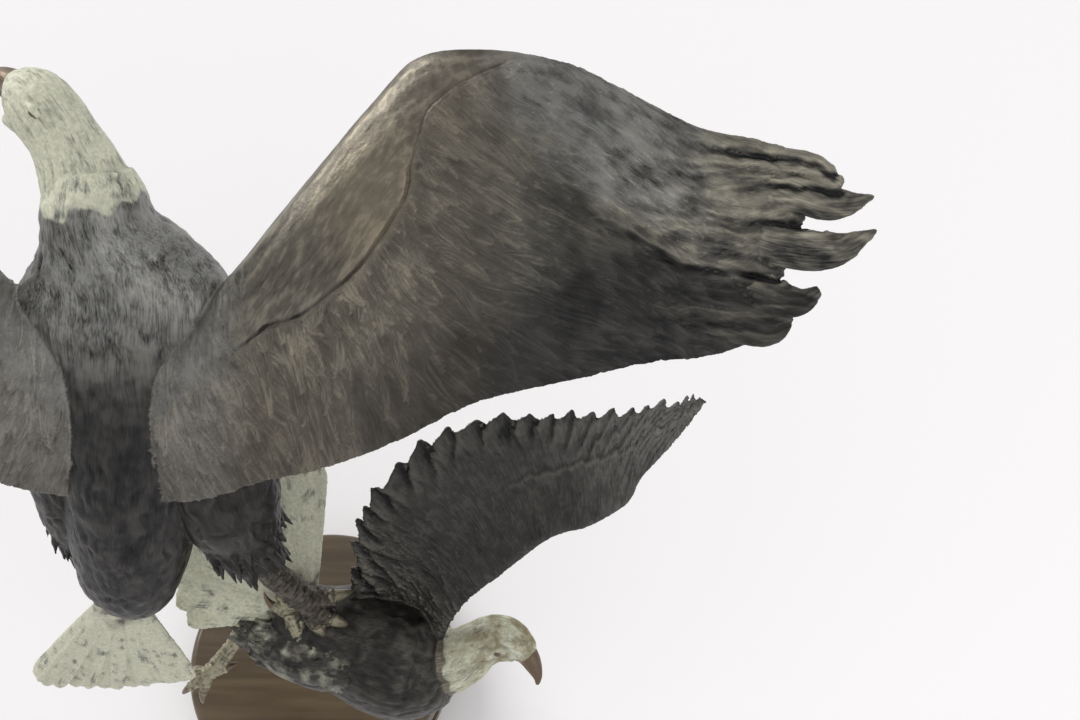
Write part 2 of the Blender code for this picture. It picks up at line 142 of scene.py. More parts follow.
LOWER_WING_BACK = [
    (46, -30, 196), (58, -21, 213), (67, -5, 240), (72, 9, 266), (80, 18, 279), (101, 31, 303),
    (125, 40, 320), (150, 43, 331), (173, 42, 336), (192, 42, 339), (209, 41, 341), (227, 42, 343),
    (240, 45, 345), (253, 46, 344), (260, 49, 344), (266, 50, 344),
]
STANDING_WING_FRONT = [
    (92, -54, 168), (104, -56, 148), (111, -52, 124), (110, -40, 96), (101, -24, 66), (88, -8, 34),
    (78, 4, -8),
]
STANDING_WING_BACK = [
    (46, -40, 178), (48, -30, 158), (46, -12, 124), (40, 6, 92), (32, 20, 58), (24, 32, 26),
    (18, 40, -8),
]
UPPER_RIGHT_THIGH = [
    (-2, 24, 368, 24, 26), (5, 15, 346, 30, 28), (8, 3, 320, 30, 27), (12, -6, 300, 24, 22),
    (17, -14, 280, 14, 13),
]
UPPER_RIGHT_SHANK = [(14, -12, 286), (19, -18, 272), (25, -21, 257), (32, -24, 243), (39, -28, 232)]
UPPER_LEFT_THIGH = [
    (-60, 20, 360, 22, 24), (-66, 8, 336, 24, 24), (-70, -4, 310, 20, 20), (-71, -12, 290, 12, 12),
]
UPPER_LEFT_SHANK = [(-71, -10, 294), (-74, -16, 272), (-77, -22, 250), (-80, -28, 232)]
LOWER_LEFT_THIGH = [
    (62, -48, 192, 26, 24), (38, -47, 194, 23, 21), (16, -42, 194, 18, 17), (0, -36, 195, 11, 11),
]
LOWER_LEFT_SHANK = [(2, -34, 196), (-6, -32, 197), (-12, -40, 191), (-20, -48, 184), (-30, -57, 177)]
LOWER_RIGHT_THIGH = [
    (58, -48, 192, 24, 22), (48, -52, 199, 17, 16), (41, -54, 204, 10, 10),
]
LOWER_RIGHT_SHANK = [(45, -55, 200), (39, -53, 205), (34, -45, 212), (27, -32, 220)]
UPPER_TAIL_ROOT = (-52, -36, 286)
UPPER_TAIL_END = (-89, -65, 180)
UPPER_TAIL_HALF_WIDTH = 45
LOWER_TAIL_ROOT = (34, -24, 205)
LOWER_TAIL_ENDS = [
    (-38, -31, 214), (-44, -14, 229), (-36, 8, 244), (-20, 24, 255), (3, 36, 263), (24, 44, 267),
    (40, 46, 266),
]
TAIL_FEATHERS = 11
UPPER_FEATHERS = 26
LOWER_FEATHERS = 24
STANDING_FEATHERS = 14

# Lines that show on the upper bird's back, in the photograph's pixels
CREASE_LINE = [
    (206, 376), (250, 339), (267, 325), (288, 320), (308, 310), (338, 287), (358, 268), (382, 235),
    (399, 207), (408, 187), (409, 169),
]
WRIST_LINE = [(409, 169), (417, 140), (429, 108), (455, 86), (493, 66), (540, 50)]
FINGER_LINES = [
    [(643, 130), (694, 147), (742, 156), (803, 161), (834, 176)],
    [(700, 192), (740, 188), (767, 185), (803, 188), (839, 195)],
    [(730, 224), (771, 222), (820, 229)],
    [(700, 268), (737, 273), (779, 280)],
]
HAND_LINE = [(604, 219), (645, 241), (684, 265), (718, 270), (742, 280), (786, 290)]
WRIST_SCAR = (418, 166)
WARM_SKIN = (378, 198)

# How the strokes turn from the chord towards the wing's end, in degrees, along the span
STROKE_TURN = [(0.0, 10), (0.2, 18), (0.4, 26), (0.5, 42), (0.6, 58), (0.8, 78), (1.0, 86)]
LOWER_STROKE_TURN = [(0.0, 5), (0.4, 12), (0.7, 30), (1.0, 62)]


def linear(code):
    """A colour's linear values from its sRGB hex code."""
    parts = [int(code[i:i + 2], 16) / 255 for i in (1, 3, 5)]
    return tuple(v / 12.92 if v <= 0.04045 else ((v + 0.055) / 1.055) ** 2.4 for v in parts)


def unit(vector):
    """The same direction at length one, for one vector or for rows of them."""
    vector = np.asarray(vector, float)
    return vector / np.maximum(np.linalg.norm(vector, axis=-1, keepdims=True), 1e-12)


def ease(low, high, value):
    """0 below low, 1 above high and smooth between."""
    share = np.clip((value - low) / (high - low), 0, 1)
    return share * share * (3 - 2 * share)


def bump(distance, width):
    """1 at distance 0, falling off smoothly over the width."""
    return np.exp(-((distance / width) ** 2))


def through(points, count):
    """Evenly numbered points on a smooth curve through the given ones, with every column eased."""
    points = np.asarray(points, float)
    knots = np.vstack([2 * points[0] - points[1], points, 2 * points[-1] - points[-2]])
    place = np.linspace(0, len(points) - 1, count)
    index = np.minimum(place.astype(int), len(points) - 2)
    f = (place - index)[:, None]
    a, b, c, d = (knots[index + k] for k in range(4))
    bend = (2 * a - 5 * b + 4 * c - d) * f**2 + (3 * b - a - 3 * c + d) * f**3
    return 0.5 * (2 * b + (c - a) * f + bend)


LATTICE = np.random.default_rng(5).permutation(4096)


def noise(places, seed=0):
    """Smooth noise from -1 to 1 at rows of places, with one cell of its lattice to a unit."""
    cell = np.floor(places).astype(np.int64)
    f = places - cell
    f = f * f * f * (f * (f * 6 - 15) + 10)
    total = np.zeros(len(places))
    for corner in range(8):
        step = np.array([corner & 1, corner >> 1 & 1, corner >> 2])
        x, y, z = (cell + step).T
        value = LATTICE[(LATTICE[(LATTICE[(x + seed * 131) & 4095] + y) & 4095] + z) & 4095]
        total += np.prod(np.where(step, f, 1 - f), axis=1) * (value / 2047.5 - 1)
    return total


def on_sheet(local, along, across, seed):
    """Noise on a wing's sheet, in cells of so many millimetres along the span and the chord."""
    return noise(local * (1 / along, 0.1, 1 / across), seed)


def strands(places, across, along, seed):
    """Noise in strands, so many millimetres across and along the third axis."""
    return noise(places * (1 / across, 1 / across, 1 / along), seed)


def swayed(local, reach, cell, seed):
    """Places moved sideways by noise, so that what is drawn on them wanders."""
    x, y = noise(local / cell, seed), noise(local / cell, seed + 1)
    return local + reach * np.column_stack([x, y, np.zeros(len(local))])


def photo_spot(points):
    """The photograph's pixel for each point of the figure."""
    away = points * MM + (0, 0, FIGURE_BASE) - CAMERA_PLACE
    turn, tip = math.cos(CAMERA_TILT), math.sin(CAMERA_TILT)
    depth = away @ (0, tip, -turn)
    pixels = CAMERA_LENS / SENSOR_WIDTH * PICTURE[0]
    across = PICTURE[0] / 2 + pixels * away[:, 0] / depth
    down = PICTURE[1] / 2 - pixels * (away @ (0, turn, tip)) / depth
    return np.stack([across, down], 1)


def from_line(spots, line):
    """How far spots lie from a line, positive on the right of its course, and the share along it."""
    line = np.asarray(line, float)
    nearest = np.full(len(spots), np.inf)
    signed, share = np.zeros(len(spots)), np.zeros(len(spots))
    total = np.linalg.norm(np.diff(line, axis=0), axis=1).sum()
    behind = 0.0
    for start, end in zip(line, line[1:]):
        way = end - start
        length = np.linalg.norm(way)
        f = np.clip((spots - start) @ way / length**2, 0, 1)
        off = spots - start - f[:, None] * way
        gap = np.linalg.norm(off, axis=1)
        closer = gap < nearest
        nearest = np.where(closer, gap, nearest)
        side = np.where(way[0] * off[:, 1] - way[1] * off[:, 0] > 0, 1, -1)
        signed = np.where(closer, gap * side, signed)
        share = np.where(closer, (behind + f * length) / total, share)
        behind += length
    return signed, share


FORM_STEP = np.array([61.0, 37.0, 83.0])
CELL = 0.45


class Cast:
    """The closed forms that a bird is built from, and what each of their points knows."""

    def __init__(self, seed):
        self.points, self.faces, self.local, self.share = [], [], [], []
        self.count = 0
        self.forms = 0
        self.rng = random.Random(seed)

    def add(self, points, faces, local, share, kind):
        """Adds one closed form of triangles."""
        self.forms += 1
        self.points.append(points)
        self.faces.append(faces + self.count)
        self.local.append(local + self.forms * FORM_STEP)
        self.share.append(np.column_stack([share, np.full(len(points), float(kind))]))
        self.count += len(points)

    def skin(self, rings, local, share, kind):
        """Adds a closed skin over rings of points, with a fan over each end."""
        rows, sides = rings.shape[:2]
        index = np.arange(rows * sides).reshape(rows, sides)
        near, far = index[:-1], index[1:]
        corners = [near, np.roll(near, -1, 1), np.roll(far, -1, 1), far]
        quads = np.stack(corners, -1).reshape(-1, 4)
        faces = [quads[:, :3], quads[:, [0, 2, 3]]]
        values = []
        for each in (rings, local, share):
            values.append(np.concatenate([each.reshape(rows * sides, -1), each[[0, -1]].mean(1)]))
        for ring, centre in ((index[0], rows * sides), (index[-1], rows * sides + 1)):
            faces.append(np.stack([ring, np.roll(ring, -1), np.full(sides, centre)], -1))
        self.add(values[0], np.concatenate(faces), values[1], values[2], kind)


def limb(cast, rows, kind, facing=VIEW, sides=36, pitch=1.6):
    """A rounded form along rows of centre, half width and half depth, with its depth to facing."""
    rows = np.asarray(rows, float)
    reach = np.linalg.norm(np.diff(rows[:, :3], axis=0), axis=1).sum()
    rows = through(rows, max(8, int(reach / pitch)))
    centre, half = rows[:, :3], np.maximum(rows[:, 3:5], 0.3)
    along = unit(np.gradient(centre, axis=0))
    side = unit(np.cross(along, facing))
    depth = np.cross(side, along)
    turn = np.linspace(0, 2 * math.pi, sides, endpoint=False)
    across = np.cos(turn)[None] * half[:, :1]
    deep = np.sin(turn)[None] * half[:, 1:]
    rings = centre[:, None] + across[..., None] * side[:, None] + deep[..., None] * depth[:, None]
    run = np.concatenate([[0], np.cumsum(np.linalg.norm(np.diff(centre, axis=0), axis=1))])
    run = np.broadcast_to(run[:, None], across.shape)
    share = np.broadcast_to(np.linspace(0, 1, len(rows))[:, None], across.shape)
    facts = np.stack([share, np.broadcast_to(np.cos(turn), across.shape)], -1)
    cast.skin(rings, np.stack([across, deep, run], -1), facts, kind)


class Wing:
    """A wing's smooth sheet, and the strokes of a modelling tool painted over it."""

    def __init__(self, fronts, backs, up, feathers, arm, camber, ends, turns, width, reach, seed):
        self.feathers, self.up = feathers, up
        count = feathers * 11 + 1
        self.front, self.back = through(fronts, count), through(backs, count)
        self.length = np.linalg.norm(self.back - self.front, axis=1)[:, None]
        middle = (self.front + self.back) / 2
        self.run = np.concatenate([[0], np.cumsum(np.linalg.norm(np.diff(middle, axis=0), axis=1))])
        self.arm, self.camber, self.ends = arm, camber, ends
        self.paint(turns, width, reach, seed)

    def sheet(self, cast, kind, edge, mirror=None):
        """Adds the sheet: thick at the arm, thin behind, with each feather's end let out."""
        chord = unit(self.back - self.front)
        span = unit(np.gradient((self.front + self.back) / 2, axis=0))
        normal = unit(np.cross(span, chord))
        normal *= np.sign(normal @ np.asarray(self.up))[:, None]
        count = len(self.front)
        s = np.linspace(0, 1, count)[:, None]
        t = ((1 - np.cos(np.linspace(0, math.pi, 64))) / 2)[None]
        saw = (s * self.feathers) % 1
        wide = 0.6 + 0.8 * ((np.floor(s * self.feathers) * 0.618) % 1)
        out = self.ends * wide * np.clip(saw / 0.8, 0, 1) ** 1.2 * np.clip((1 - saw) / 0.2, 0, 1) ** 1.2
        reach = 1 + (out - self.ends * 0.4) / self.length
        thick = edge + (self.arm * (1 - 0.75 * s) - edge) * bump(t - 0.12, 0.2)
        thick = thick * (np.sqrt(np.clip(t / 0.06, 0, 1)) * 0.9 + 0.1)
        thick = thick * (1 - 0.45 * ease(0.93, 1.0, t)) * (1 - 0.55 * ease(0.88, 1.0, s))
        rise = self.camber * (1 - 0.5 * s) * (1 - 0.75 * ease(0.7, 1.0, s)) * 4 * t * (1 - t) ** 1.4
        middle = self.front[:, None] + (t * reach)[..., None] * (self.back - self.front)[:, None]
        faces = []
        for half in (0.5, -0.5):
            faces.append(middle + (rise + half * thick)[..., None] * normal[:, None])
        rings = np.concatenate([faces[0], faces[1][:, -2:0:-1]], axis=1)
        if mirror is not None:
            rings = mirror(rings)
        flat = np.stack([np.broadcast_to(self.run[:, None], thick.shape), thick / 2, t * self.length], -1)
        under = flat * (1, -1, 1)
        share = np.stack([np.broadcast_to(s, thick.shape), np.broadcast_to(t, thick.shape)], -1)
        local = np.concatenate([flat, under[:, -2:0:-1]], axis=1)
        share = np.concatenate([share, share[:, -2:0:-1]], axis=1)
        self.level = (cast.forms + 1) * FORM_STEP[1]
        cast.skin(rings, local, share, kind)

    def paint(self, turns, width, reach, seed):
        """Paints locks of feathers over each other from the wing's end and trailing edge forward.

        Keeps pictures of height and shade, and of each place's own spot along and across its lock.
        """
        rng = np.random.default_rng(seed)
        rows, cols = int(self.run[-1] / CELL), int(self.length.max() / CELL)
        self.height, self.shade = np.zeros((rows, cols)), np.zeros((rows, cols))
        self.strand = np.zeros((rows, cols, 2))
        count = int(8 * self.run[-1] * self.length.mean() / (width * reach))
        s, t = rng.uniform(0, 1, count), rng.uniform(-0.05, 1.0, count)
        wander = noise(np.column_stack([s * 9, t * 5, np.full(count, 0.5)]), seed)
        turn = np.radians(np.interp(s, *zip(*turns)) + 16 * wander + rng.normal(0, 6, count))
        chord = np.interp(s, np.linspace(0, 1, len(self.length)), self.length[:, 0])
        far = t * chord * np.cos(turn) + s * self.run[-1] * np.sin(turn)
        far = far + rng.normal(0, 0.3 * reach, count)
        for k in np.argsort(-far):
            short = 1 - 0.45 * ease(0.5, 0.7, s[k])
            half, wide = reach * short * rng.uniform(0.35, 0.7), width * rng.uniform(0.35, 0.75)
            bend, shade = rng.normal(0, 0.13) * half, rng.uniform(-1, 1)
            size, lines, phase = rng.uniform(0.3, 1.0), rng.integers(3, 6), rng.uniform(0, 6)
            i, j = s[k] * rows, t[k] * cols
            top, left = max(0, int(i - half / CELL)), max(0, int(j - half * cols / chord[k]))
            low, right = int(i + half / CELL) + 1, int(j + half * cols / chord[k]) + 1
            x, y = np.mgrid[top:min(low, rows), left:min(right, cols)]
            x, y = (x - i) * CELL, (y - j) * chord[k] / cols
            u = x * math.sin(turn[k]) + y * math.cos(turn[k])
            a = u / half
            v = x * math.cos(turn[k]) - y * math.sin(turn[k]) + bend * (a * a - 0.3)
            b = v / (wide * (1 - 0.6 * ease(0.0, 1.0, a)))
            cover = ease(1.0, 0.75, np.abs(b)) * ease(-1.0, -0.5, a) * ease(1.0, 0.94, a)
            lobe = np.sqrt(np.clip(1 - b * b, 0, 1)) * (0.3 + 0.35 * (a + 1))
            lobe = size * (lobe + 0.3 * np.cos(math.pi * lines * b + phase))
            window = np.s_[top:top + x.shape[0], left:left + x.shape[1]]
            self.height[window] += cover * (lobe - self.height[window])
            self.shade[window] += cover * (shade - self.shade[window])
            spot = np.stack([v + 7.0 * (k % 97), u + 11.0 * (k % 89)], -1)
            self.strand[window] = np.where(cover[..., None] > 0.5, spot, self.strand[window])
        self.height = (self.height - self.height.mean()) / self.height.std()

    def painted(self, share):
        """Height and shade at shares of the span and the chord, and the spot on the lock of feathers."""
        rows, cols = self.height.shape
        i, j = share[:, 0] * (rows - 1.001), share[:, 1] * (cols - 1.001)
        row = np.clip(np.rint(i).astype(int), 0, rows - 1)
        col = np.clip(np.rint(j).astype(int), 0, cols - 1)
        return between(self.height, i, j), between(self.shade, i, j), self.strand[row, col]


def between(image, i, j):
    """A picture's value between its cells."""
    i = np.clip(i, 0, image.shape[0] - 1.001)
    j = np.clip(j, 0, image.shape[1] - 1.001)
    row, col = i.astype(int), j.astype(int)
    f, g = i - row, j - col
    first = image[row, col] * (1 - f) + image[row + 1, col] * f
    second = image[row, col + 1] * (1 - f) + image[row + 1, col + 1] * f
    return first * (1 - g) + second * g


def feather(cast, rows, thickness, mirror=None):
    """One long feather: a flat blade along rows of place and half width."""
    facing = np.asarray(VIEW, float)
    points = np.asarray(rows, float)[:, :3] + facing
    if mirror is not None:
        points, facing = mirror(points), mirror(facing, True)
    widest = max(row[3] for row in rows)
    rows = [(*p, row[3], thickness * (0.5 + 0.5 * row[3] / widest) / 2) for p, row in zip(points, rows)]
    limb(cast, rows, FINGER, facing, sides=40, pitch=1.2)


def claw(cast, start, heading, down, length, width):
    """A toe with its knuckles, and its claw hooked down to a point."""
    start, heading, down = np.asarray(start, float), unit(heading), unit(down)
    toe = ((0, 0, 1), (0.17, -0.05, 0.84), (0.35, -0.03, 1.0), (0.48, -0.01, 0.8), (0.6, 0.02, 0.92))
    nail = ((0.5, 0.0, 0.6), (0.62, 0.02, 0.72), (0.8, 0.13, 0.5), (0.92, 0.28, 0.28), (0.97, 0.42, 0.1))
    for shape, kind, sides in ((toe, LEG, 20), (nail, HORN, 16)):
        rows = []
        for out, drop, size in shape:
            place = start + length * (out * heading + drop * down)
            rows.append((*place, width * size, width * size))
        limb(cast, rows, kind, down + 0.01, sides=sides, pitch=0.8)


def foot(cast, shank, ahead, spread, down, length, width):
    """A scaly leg from below the thigh feathers to the foot, with three toes ahead and one behind."""
    rows = [(*p, width, width) for p in shank]
    rows[-1] = (*shank[-1], width * 1.25, width * 1.1)
    limb(cast, rows, LEG, spread, sides=24, pitch=0.9)
    end, ahead, spread = np.asarray(shank[-1], float), unit(ahead), unit(spread)
    for sideways, reach in ((-0.8, 0.95), (0.0, 1.1), (0.8, 0.95)):
        claw(cast, end, ahead + sideways * spread, down, length * reach, width * 0.78)
    claw(cast, end, -ahead - 0.3 * spread, down, length * 0.8, width * 0.8)


def thigh(cast, rows, hem_count, hem_length):
    """A feathered thigh whose hem hangs in ragged locks, in three rows up the leg."""
    limb(cast, rows, THIGH)
    rows = np.asarray(rows, float)
    along = unit(rows[-1, :3] - rows[-2, :3])
    side = unit(np.cross(along, VIEW))
    depth = np.cross(side, along)
    places, leans, sizes = [], [], []
    for ring in range(3):
        for k in range(hem_count):
            turn = 2 * math.pi * (k + 0.5 * ring) / hem_count
            hold = rows[-1] + (rows[-2] - rows[-1]) * min(0.62 * ring, 1.0)
            out = side * math.cos(turn) * hold[3] + depth * math.sin(turn) * hold[4]
            reach = hem_length * cast.rng.uniform(0.7, 1.3)
            places.append(hold[:3] + out * 0.86)
            lean = along + unit(out) * cast.rng.uniform(0.1, 0.45)
            leans.append(lean + 0.15 * np.array([cast.rng.uniform(-1, 1), 0, 0]))
            sizes.append((3.9 - 0.4 * ring, 3.6 - 0.4 * ring, reach))
    locks(cast, places, leans, sizes, THIGH)


def tail(cast, root, ends, half_width, thickness):
    """A fan of tail feathers from one root, each a little in front of the one before."""
    root, facing = np.asarray(root, float), unit(VIEW)
    for k, end in enumerate(through(ends, TAIL_FEATHERS)):
        layer = facing * 0.5 * ((k % 2) - 0.5) * thickness
        rows = [
            (*(root + layer), half_width * 0.45, thickness * 0.8),
            (*(root + 0.55 * (end - root) + layer), half_width * 0.85, thickness * 0.6),
            (*(root + 0.9 * (end - root) + layer), half_width, thickness * 0.5),
            (*(end + layer), half_width * 0.75, thickness * 0.4),
        ]
        limb(cast, rows, TAIL, facing, sides=36, pitch=1.2)


def eye_and_brow(cast, place, ahead, across, size, facing):
    """The heavy ridge over an eye, and the eye as a low ball under it."""
    place, ahead, across = np.asarray(place, float), unit(ahead), unit(across)
    brow = [
        (*(place - ahead * size * 1.1 + across * size * 0.2), size * 0.3, size * 0.25),
        (*(place + across * size * 0.75), size * 0.42, size * 0.38),
        (*(place + ahead * size * 1.2 + across * size * 0.35), size * 0.3, size * 0.2),
    ]
    limb(cast, brow, HEAD, facing, sides=16, pitch=0.6)
    ball, radius = [], size * 0.52
    for angle in np.linspace(0.05, 3.09, 9):
        half = radius * math.sin(angle)
        ball.append((*(place + ahead * size * 0.52 * math.cos(angle)), half, half))
    limb(cast, ball, EYE, facing, sides=20, pitch=0.3)


def upper_mirror():
    """The function that turns the right side of the upper eagle into its left side."""
    normal = unit(BACK_ACROSS)

    def flip(points, direction=False):
        away = points if direction else points - BACK_MIDDLE
        return points - 2 * np.outer(away @ normal, normal).reshape(points.shape)

    return flip


def add(tree, kind, links=None, **settings):
    """A node with its settings, and its inputs set to values or linked to sockets or other nodes.

    A node among the links stands for its first live output.
    """
    node = tree.nodes.new(kind)
    for name, value in settings.items():
        setattr(node, name, value)
    for name, value in (links or {}).items():
        if isinstance(value, bpy.types.Node):
            value = next(socket for socket in value.outputs if socket.enabled)
        if isinstance(value, bpy.types.NodeSocket):
            tree.links.new(value, node.inputs[name])
        else:
            node.inputs[name].default_value = value
    return node


def new_tree(name, inputs):
    """A geometry node tree with its named inputs: socket types and defaults."""
    tree = bpy.data.node_groups.new(name, "GeometryNodeTree")
    tree.interface.new_socket("Geometry", in_out="INPUT", socket_type="NodeSocketGeometry")
    for label, (kind, value) in inputs.items():
        socket = tree.interface.new_socket(label, in_out="INPUT", socket_type=kind)
        if value is not None:
            socket.default_value = value
    tree.interface.new_socket("Geometry", in_out="OUTPUT", socket_type="NodeSocketGeometry")
    return tree


def end_tree(tree, geometry, stuff):
    """Ends a tree in real geometry with its material."""
    real = add(tree, "GeometryNodeRealizeInstances", {"Geometry": geometry})
    done = add(tree, "GeometryNodeSetMaterial", {"Geometry": real, "Material": stuff})
    add(tree, "NodeGroupOutput", {"Geometry": done})


def run_tree(thing, tree, values):
    """Puts the tree on an object with its inputs set by identifier, and keeps the result as mesh."""
    grown = thing.modifiers.new(tree.name, "NODES")
    grown.node_group = tree
    for item in tree.interface.items_tree:
        if item.name in values:
            grown[item.identifier] = values[item.name]
    thing.data = baked(thing)


def baked(thing):
    """The object's mesh with its modifiers applied, which are then removed."""
    graph = bpy.context.evaluated_depsgraph_get()
    mesh = bpy.data.meshes.new_from_object(thing.evaluated_get(graph))
    thing.modifiers.clear()
    return mesh


def new_object(name, mesh):
    """An object in the scene that holds the mesh."""
    thing = bpy.data.objects.new(name, mesh)
    bpy.context.scene.collection.objects.link(thing)
    return thing


def set_facts(mesh, facts):
    """Keeps rows of values as vector attributes of the mesh's points."""
    for label, values in facts.items():
        layer = mesh.attributes.new(label, "FLOAT_VECTOR", "POINT")
        layer.data.foreach_set("vector", np.asarray(values, np.float32).ravel())


def mesh_of(name, points, faces, **facts):
    """A mesh of triangles in metres, with facts as vector attributes of its points."""
    mesh = bpy.data.meshes.new(name)
    mesh.vertices.add(len(points))
    mesh.vertices.foreach_set("co", np.asarray(points, np.float32).ravel())
    mesh.loops.add(3 * len(faces))
    mesh.loops.foreach_set("vertex_index", np.asarray(faces, np.int32).ravel())
    mesh.polygons.add(len(faces))
    mesh.polygons.foreach_set("loop_start", np.arange(0, 3 * len(faces), 3, dtype=np.int32))
    mesh.update(calc_edges=True)
    set_facts(mesh, facts)
    return mesh


def values_of(collection, name, width=3):
    """Numbers of a mesh's points, faces or attribute as rows."""
    out = np.empty(len(collection) * width, np.float32)
    collection.foreach_get(name, out)
    return out.reshape(-1, width).astype(float)


def carry_tree():
    """Geometry nodes that tell each point of a skin what the nearest place on the forms knows."""
    inputs = {"Forms": ("NodeSocketObject", None), "Metal": ("NodeSocketMaterial", None)}
    tree = new_tree("carry_over_forms", inputs)
    start = add(tree, "NodeGroupInput")
    forms = add(tree, "GeometryNodeObjectInfo",
                {"Object": start.outputs["Forms"]}, transform_space="RELATIVE")
    geometry = start.outputs["Geometry"]
    for name in ("local", "share"):
        fact = add(tree, "GeometryNodeInputNamedAttribute", {"Name": name}, data_type="FLOAT_VECTOR")
        links = {"Mesh": forms.outputs["Geometry"], "Value": fact}
        near = add(tree, "GeometryNodeSampleNearestSurface", links, data_type="FLOAT_VECTOR")
        links = {"Geometry": geometry, "Name": name, "Value": near}
        geometry = add(tree, "GeometryNodeStoreNamedAttribute", links, data_type="FLOAT_VECTOR")
    end_tree(tree, geometry, start.outputs["Metal"])
    return tree


def lock_tree():
    """Geometry nodes that set a bent, pointed lock of feathers on each point, along its lean."""
    inputs = {
        "Bend": ("NodeSocketFloat", 0.25),
        "Length spread": ("NodeSocketFloat", 0.2),
        "Seed": ("NodeSocketInt", 3),
        "Metal": ("NodeSocketMaterial", None),
    }
    tree = new_tree("locks_of_feathers", inputs)
    start = add(tree, "NodeGroupInput")
    links = {"Vertices": 12, "Side Segments": 8, "Radius Top": 0.12, "Radius Bottom": 1.0, "Depth": 1.0}
    cone = add(tree, "GeometryNodeMeshCone", links)
    place = add(tree, "GeometryNodeInputPosition")
    height = add(tree, "ShaderNodeSeparateXYZ", {0: place})
    square = add(tree, "ShaderNodeMath", {0: height.outputs["Z"], 1: 2.0}, operation="POWER")
    sway = add(tree, "ShaderNodeMath", {0: square, 1: start.outputs["Bend"]}, operation="MULTIPLY")
    offset = add(tree, "ShaderNodeCombineXYZ", {"X": sway})
    bent = add(tree, "GeometryNodeSetPosition", {"Geometry": cone, "Offset": offset})
    lean = add(tree, "GeometryNodeInputNamedAttribute", {"Name": "lean"}, data_type="FLOAT_VECTOR")
    size = add(tree, "GeometryNodeInputNamedAttribute", {"Name": "size"}, data_type="FLOAT_VECTOR")
    turn = add(tree, "FunctionNodeAlignRotationToVector", {"Vector": lean}, axis="Z")
    low = add(tree, "ShaderNodeMath", {0: 1.0, 1: start.outputs["Length spread"]}, operation="SUBTRACT")
    high = add(tree, "ShaderNodeMath", {0: 1.0, 1: start.outputs["Length spread"]})
    links = {"Min": low, "Max": high, "Seed": start.outputs["Seed"]}
    chance = add(tree, "FunctionNodeRandomValue", links, data_type="FLOAT")
    links = {0: size, "Scale": chance}
    spread = add(tree, "ShaderNodeVectorMath", links, operation="SCALE")
    links = {
        "Points": start.outputs["Geometry"],
        "Instance": bent,
        "Rotation": turn,
        "Scale": spread,
    }
    planted = add(tree, "GeometryNodeInstanceOnPoints", links)
    end_tree(tree, planted.outputs[0], start.outputs["Metal"])
    return tree


def locks(cast, places, leans, sizes, kind):
    """Adds a lock of feathers at each place, with width, depth and length as its size."""
    mesh = bpy.data.meshes.new("lock_points")
    mesh.from_pydata([tuple(p) for p in places], [], [])
    set_facts(mesh, {"lean": leans, "size": sizes})
    thing = new_object("lock_points", mesh)
    run_tree(thing, bpy.data.node_groups.get("locks_of_feathers") or lock_tree(), {})
    done = thing.data
    done.calc_loop_triangles()
    faces = values_of(done.loop_triangles, "vertices").astype(int)
    points = values_of(done.vertices, "co")
    each = len(points) // len(places)
    along = np.repeat(unit(leans), each, axis=0)
    run = np.einsum("ij,ij->i", points - np.repeat(np.asarray(places), each, axis=0), along)
    across = points - run[:, None] * along
    local = np.column_stack([across[:, 0], across[:, 1] + across[:, 2], run])
    cast.add(points, faces, local, np.column_stack([run / 20, np.zeros(len(run))]), kind)
    bpy.data.objects.remove(thing)


def build_upper(cast, sizes):
    """The eagle on top, its back to the viewer. Gives back its wings by kind."""
    limb(cast, UPPER_BODY_ROWS, BODY, sides=72)
    limb(cast, UPPER_HEAD_ROWS, HEAD, sides=56)
    limb(cast, UPPER_BEAK_ROWS, HORN, sides=32, pitch=0.8)
    eye_and_brow(cast, (-42, 104, 507), (-0.6, 0.6, 0.1), (0.3, -0.2, 0.9), 4.0, (0.4, -0.4, 0.8))
    eye_and_brow(cast, (-58, 109, 494), (-0.5, 0.7, 0.1), (-0.5, -0.1, 0.8), 4.0, (-0.6, -0.3, 0.7))
    wing = Wing(UPPER_WING_FRONT, UPPER_WING_BACK, VIEW, UPPER_FEATHERS, 14, 20, 0.4, STROKE_TURN,
                sizes.stroke_width, sizes.stroke_length, 11)
    flip = upper_mirror()
    for mirror in (None, flip):
        wing.sheet(cast, UPPER_WING, 3.4, mirror)
        for rows in UPPER_FINGERS:
            feather(cast, rows, 6.4, mirror=mirror)
    ends = []
    root, end = np.array(UPPER_TAIL_ROOT, float), np.array(UPPER_TAIL_END, float)
    for share in (-1, -0.5, 0, 0.5, 1):
        across = np.array([share * UPPER_TAIL_HALF_WIDTH, 0, 0])
        ends.append(end + across + 0.06 * abs(share) * (root - end))
    tail(cast, root, ends, 9.0, 4.5)
    thigh(cast, UPPER_RIGHT_THIGH, 18, 15)
    foot(cast, UPPER_RIGHT_SHANK, (0.8, -0.5, -0.3), (0.3, 0.8, 0.4), (0.1, 0.5, -0.866), 27, 7.8)
    thigh(cast, UPPER_LEFT_THIGH, 14, 13)
    foot(cast, UPPER_LEFT_SHANK, (-0.4, 0.4, -0.8), (-0.6, 0.5, 0.2), (-0.1, -0.8, -0.3), 22, 5.6)
    return {UPPER_WING: wing}


